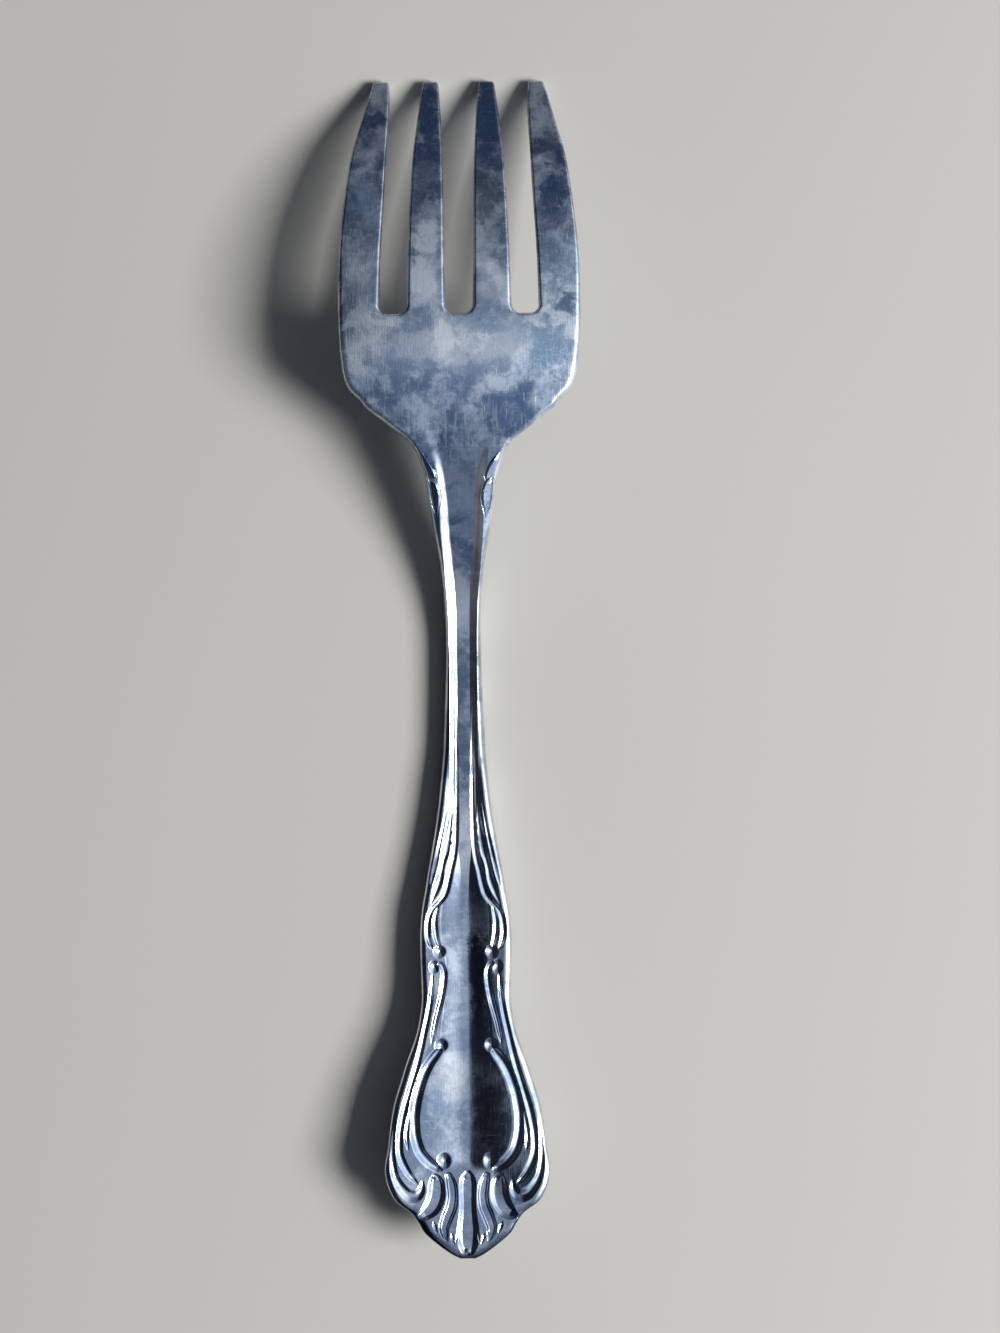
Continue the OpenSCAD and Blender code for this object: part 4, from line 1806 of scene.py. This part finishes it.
@dataclass
class Studio:
    """Pale floor, soft lamp, sky and the camera above the fork, in millimetres and degrees."""

    camera_height: float = 290.0
    camera_x: float = 4.7
    camera_y: float = -0.49
    camera_turn: float = -0.52
    camera_near: float = 10.0
    view_height: float = 172.3
    sensor: float = 36.0

    floor_size: float = 3000.0
    floor_gap: float = 0.02
    floor_colour: Colour = (0.56, 0.55, 0.52)
    floor_shade: float = 0.96
    floor_waves: float = 9.0
    floor_roughness: float = 0.75
    floor_specular: float = 0.2

    key_distance: float = 1200.0
    key_azimuth: float = -15.0
    key_elevation: float = 38.0
    key_size: float = 450.0
    key_power: float = 21.0
    key_colour: Colour = (1.0, 0.99, 0.97)

    backdrop: Colour = (0.78, 0.78, 0.76)
    low_sky: Colour = (0.5, 0.6, 0.82)
    high_sky: Colour = (0.86, 0.93, 1.0)
    sky_strength: float = 1.15
    # Share of the sky's strength that falls on rough surfaces, and its least level
    fill: float = 0.28
    dim: float = 0.035
    # Where the sky brightens from left to right in two steps, and how bright each one is
    first_step: Span = (-0.32, -0.15)
    second_step: Span = (0.24, 0.58)
    overhead: float = 0.6
    window: float = 1.2
    # Where the sky fades towards both ends of the fork and towards the horizon, and how far
    ends: Span = (0.2, 0.9)
    far_fade: float = 0.55
    near_fade: float = 0.8
    window_fade: float = 0.7
    horizon: Span = (-0.15, 0.5)
    horizon_level: float = 0.5

    def hang_key(self) -> None:
        """Hangs the square lamp, which looks at the fork from the right."""
        data = bpy.data.lights.new("key", "AREA")
        data.shape = "RECTANGLE"
        data.size = data.size_y = self.key_size * MM
        data.energy = self.key_power
        data.color = self.key_colour
        lamp = bpy.data.objects.new("key", data)
        bpy.context.collection.objects.link(lamp)
        azimuth, elevation = math.radians(self.key_azimuth), math.radians(self.key_elevation)
        away = (math.cos(azimuth) * math.cos(elevation), math.sin(azimuth) * math.cos(elevation),
                math.sin(elevation))
        lamp.location = tuple(part * self.key_distance * MM for part in away)
        lamp.rotation_euler = (math.pi / 2 - elevation, 0, azimuth + math.pi / 2)

    def lay_floor(self) -> None:
        """Lays the floor, which keeps the fork's shadow."""
        bpy.ops.object.select_all(action="DESELECT")
        bpy.ops.mesh.primitive_plane_add(size=self.floor_size * MM, location=(0, 0, -self.floor_gap * MM))
        floor = bpy.context.object
        floor.name = "floor"
        graph = Graph("pale_floor")
        coords = Value(graph, graph.node("ShaderNodeTexCoord").outputs["Object"])
        soft = graph.noise(coords, self.floor_waves, detail=2.0)
        shade = tuple(part * self.floor_shade for part in self.floor_colour)
        shader = graph.node("ShaderNodeBsdfPrincipled", {}, {
            "Base Color": graph.blend(soft, self.floor_colour, shade),
            "Roughness": self.floor_roughness, "Specular IOR Level": self.floor_specular})
        graph.node("ShaderNodeOutputMaterial", {}, {"Surface": shader.outputs[0]})
        floor.data.materials.append(graph.material)

    def light_world(self) -> None:
        """Fills the world with a soft light: pale above and on the right, dim low down and on the left."""
        world = bpy.data.worlds.new("studio")
        bpy.context.scene.world = world
        world.use_nodes = True
        graph = Graph("studio", world.node_tree)
        coords = Value(graph, graph.node("ShaderNodeTexCoord").outputs["Generated"])
        across, along, up = graph.parts(coords)
        path = graph.node("ShaderNodeLightPath")
        glossy = Value(graph, path.outputs["Is Glossy Ray"])
        seen = Value(graph, path.outputs["Is Camera Ray"])
        beside = (graph.band(along, *self.ends) * self.far_fade
                  + graph.band(0.0 - along, *self.ends) * self.near_fade)
        above = graph.band(across, *self.first_step) * self.overhead * (1.0 - beside)
        right = graph.band(across, *self.second_step) * (1.0 - beside * self.window_fade)
        level = above + right * (1.0 - self.overhead + glossy * (self.window - 1.0 + self.overhead))
        risen = graph.band(up, *self.horizon) * (1.0 - self.horizon_level)
        level = level * (self.horizon_level + risen)
        strength = (level * (1.0 - self.dim) + self.dim) * self.sky_strength
        strength = strength * (self.fill + glossy * (1.0 - self.fill))
        tint = graph.blend(level.held(), self.low_sky, self.high_sky)
        colour = graph.blend(seen, tint, self.backdrop)
        strength = strength * (1.0 - seen) + seen
        light = graph.node("ShaderNodeBackground", {}, {"Color": colour, "Strength": strength})
        graph.node("ShaderNodeOutputWorld", {}, {"Surface": light.outputs[0]})

    def place_camera(self) -> None:
        """Places the camera straight above, turned as the photograph is."""
        data = bpy.data.cameras.new("camera")
        data.sensor_fit = "VERTICAL"
        data.sensor_height = self.sensor
        data.lens = self.sensor * self.camera_height / self.view_height
        data.clip_start = self.camera_near * MM
        camera = bpy.data.objects.new("camera", data)
        bpy.context.collection.objects.link(camera)
        camera.location = (self.camera_x * MM, self.camera_y * MM, self.camera_height * MM)
        camera.rotation_euler = (0, 0, math.radians(self.camera_turn))
        bpy.context.scene.camera = camera

    def build(self) -> None:
        """Sets the whole studio up."""
        self.lay_floor()
        self.light_world()
        self.hang_key()
        self.place_camera()
        bpy.context.scene.view_settings.view_transform = "Standard"


def finishes(length: float) -> dict[Slot, TarnishedSteel]:
    """Finishes of the three slots, which share their colours where the pieces meet.

    Args:
        length: Length of the fork, in millimetres.

    Returns:
        One finish for each slot.
    """
    # Tone of the tarnish along the fork, partly painted light: the pale row at 113 mm is a painted
    # highlight across the heel; the dark blue of the shoulder (104 and 109 mm) and the darker rows from
    # 134 mm to the tips are partly painted shade, where the back slopes away from the heel; the darker row
    # at 0 mm is painted shade at the end of the shell, which faces the shaded table.
    zones = (
        (0.0, (0.3, 0.35, 0.44)), (7.0, (0.5, 0.57, 0.69)), (54.0, (0.48, 0.54, 0.64)),
        (63.0, (0.12, 0.17, 0.24)), (84.0, (0.25, 0.31, 0.41)), (92.0, (0.15, 0.24, 0.4)),
        (104.0, (0.17, 0.27, 0.43)), (109.0, (0.25, 0.35, 0.5)), (113.0, (0.62, 0.7, 0.8)),
        (119.0, (0.48, 0.56, 0.63)), (128.0, (0.34, 0.41, 0.48)), (134.0, (0.2, 0.25, 0.34)),
        (141.0, (0.16, 0.2, 0.29)), (150.0, (0.16, 0.19, 0.25)),
    )
    navy, blue, smoke, pale = TarnishAndLight.NAVY, TarnishAndLight.BLUE, TarnishAndLight.SMOKE, TarnishAndLight.PALE
    root_stains = (
        StainOrPaintedLight(-4.1, 47.5, 2.4, 3.2, 1.3, pale),
        StainOrPaintedLight(4.0, 47.3, 2.2, 2.6, 0.8, pale),
        StainOrPaintedLight(-12.5, 47.5, 2.2, 3.0, 0.4, pale),
        StainOrPaintedLight(12.8, 49.5, 2.2, 4.0, 0.4, blue),
        StainOrPaintedLight(13.0, 44.9, 2.0, 1.0, 0.85, navy),
        StainOrPaintedLight(-9.6, 43.0, 2.6, 0.8, 0.75, pale),
        StainOrPaintedLight(11.0, 43.0, 2.2, 0.8, 0.75, pale),
        StainOrPaintedLight(2.5, 41.8, 2.8, 1.0, 0.65, blue),
    )
    tine_stains = (
        StainOrPaintedLight(-10.6, 69.3, 1.6, 1.8, 0.95, navy),
        StainOrPaintedLight(-10.6, 74.0, 1.4, 2.2, 0.5, pale),
        StainOrPaintedLight(-11.8, 63.5, 1.6, 2.0, 0.45, pale),
        StainOrPaintedLight(-12.0, 57.5, 2.2, 4.0, 0.45, blue),
        StainOrPaintedLight(-12.5, 49.0, 2.2, 3.0, 0.35, pale),
        StainOrPaintedLight(-3.7, 70.0, 1.6, 5.5, 1.1, navy),
        StainOrPaintedLight(-4.1, 61.5, 2.0, 3.0, 0.5, navy),
        StainOrPaintedLight(-4.3, 53.0, 2.0, 2.2, 1.3, pale),
        StainOrPaintedLight(-5.2, 50.5, 0.9, 0.8, 0.8, smoke),
        StainOrPaintedLight(3.8, 69.0, 1.8, 7.0, 1.25, navy),
        StainOrPaintedLight(3.4, 58.5, 1.9, 3.0, 0.8, smoke),
        StainOrPaintedLight(4.6, 54.0, 1.6, 3.0, 0.35, smoke),
        StainOrPaintedLight(10.1, 71.5, 1.4, 4.0, 0.45, pale),
        StainOrPaintedLight(11.6, 66.5, 0.9, 1.5, 0.8, smoke),
        StainOrPaintedLight(10.9, 63.8, 1.3, 1.3, 0.5, pale),
        StainOrPaintedLight(11.8, 59.5, 2.2, 2.8, 1.1, navy),
        StainOrPaintedLight(12.4, 55.5, 1.4, 1.6, 0.6, navy),
    )
    head_stains_and_light = (
        # Painted highlight: a pale band across the heel, where the back is highest and faces straight up.
        StainOrPaintedLight(0.5, 39.7, 9.0, 2.4, 1.0, pale),
        StainOrPaintedLight(10.8, 38.5, 3.2, 3.2, 0.85, blue),
        StainOrPaintedLight(-10.5, 40.0, 3.0, 2.4, 0.3, pale),
        # Patches across the shoulder: blue and navy tarnish, deepened into painted shade where the
        # shoulder slopes down towards the neck.
        StainOrPaintedLight(-12.5, 34.5, 2.4, 2.0, 0.7, blue),
        StainOrPaintedLight(-10.5, 33.0, 2.2, 1.3, 0.8, navy),
        StainOrPaintedLight(-8.0, 31.0, 3.0, 1.8, 0.5, navy),
        StainOrPaintedLight(6.0, 31.5, 5.0, 2.0, 0.3, navy),
        StainOrPaintedLight(0.5, 29.0, 4.0, 2.5, 0.35, navy),
    )
    handle_stains_and_light = (
        # Painted shade: dark plum on the right half of the lower panel, which faces away from the light.
        StainOrPaintedLight(3.2, -57.5, 2.6, 4.0, 0.75, TarnishAndLight.PLUM),
        StainOrPaintedLight(-3.7, -56.0, 1.8, 2.4, 0.6, blue),
        # Painted highlight: pale on the left half of the lower panel, which faces the light.
        StainOrPaintedLight(-1.9, -52.5, 2.0, 3.2, 1.0, pale),
        StainOrPaintedLight(-2.6, -61.5, 1.8, 1.6, 0.35, pale),
        StainOrPaintedLight(0.3, -60.5, 1.6, 3.5, 0.45, navy),
        # Painted shade: ink right of the crease at the waist, where the panel faces away from the light.
        StainOrPaintedLight(1.5, -39.5, 1.3, 6.5, 0.9, TarnishAndLight.INK),
        StainOrPaintedLight(0.0, -2.0, 1.4, 5.0, 0.45, navy),
        StainOrPaintedLight(0.2, -11.0, 1.3, 5.0, 0.6, navy),
        StainOrPaintedLight(0.0, 8.0, 1.2, 4.0, 0.25, pale),
        StainOrPaintedLight(0.0, -23.0, 1.3, 5.0, 0.7, pale),
    )
    return {
        Slot.TINES: TarnishedSteel("tines_tarnished_steel", length, zones, tine_stains + root_stains,
                                   rim_wear=0.12),
        Slot.HEAD: TarnishedSteel("head_tarnished_steel", length, zones, head_stains_and_light + root_stains),
        Slot.HANDLE: TarnishedSteel("handle_tarnished_steel", length, zones, handle_stains_and_light, mottle=0.6,
                                    roughness=0.08, brushing=0.05, rim_wear=0.65, grain=0.15),
    }


def main() -> None:
    """Builds the fork and its studio, and reports each piece."""
    logging.basicConfig(level=logging.INFO, format="%(message)s")
    shape = ForkShape()
    pressing = Pressing(shape, Relief(shape), Edge())
    materials = {slot: finish.material() for slot, finish in finishes(shape.length).items()}
    assemblies = ((Slot.HANDLE, Handle(shape, pressing)), (Slot.HEAD, Head(shape, pressing)),
                  (Slot.TINES, Tines(shape, pressing)))
    for slot, assembly in assemblies:
        for piece in assembly.build():
            piece.data.materials.clear()
            piece.data.materials.append(materials[slot])
            log.info("%s: %d faces", piece.name, len(piece.data.polygons))
    Studio().build()


if __name__ == "__main__":
    main()
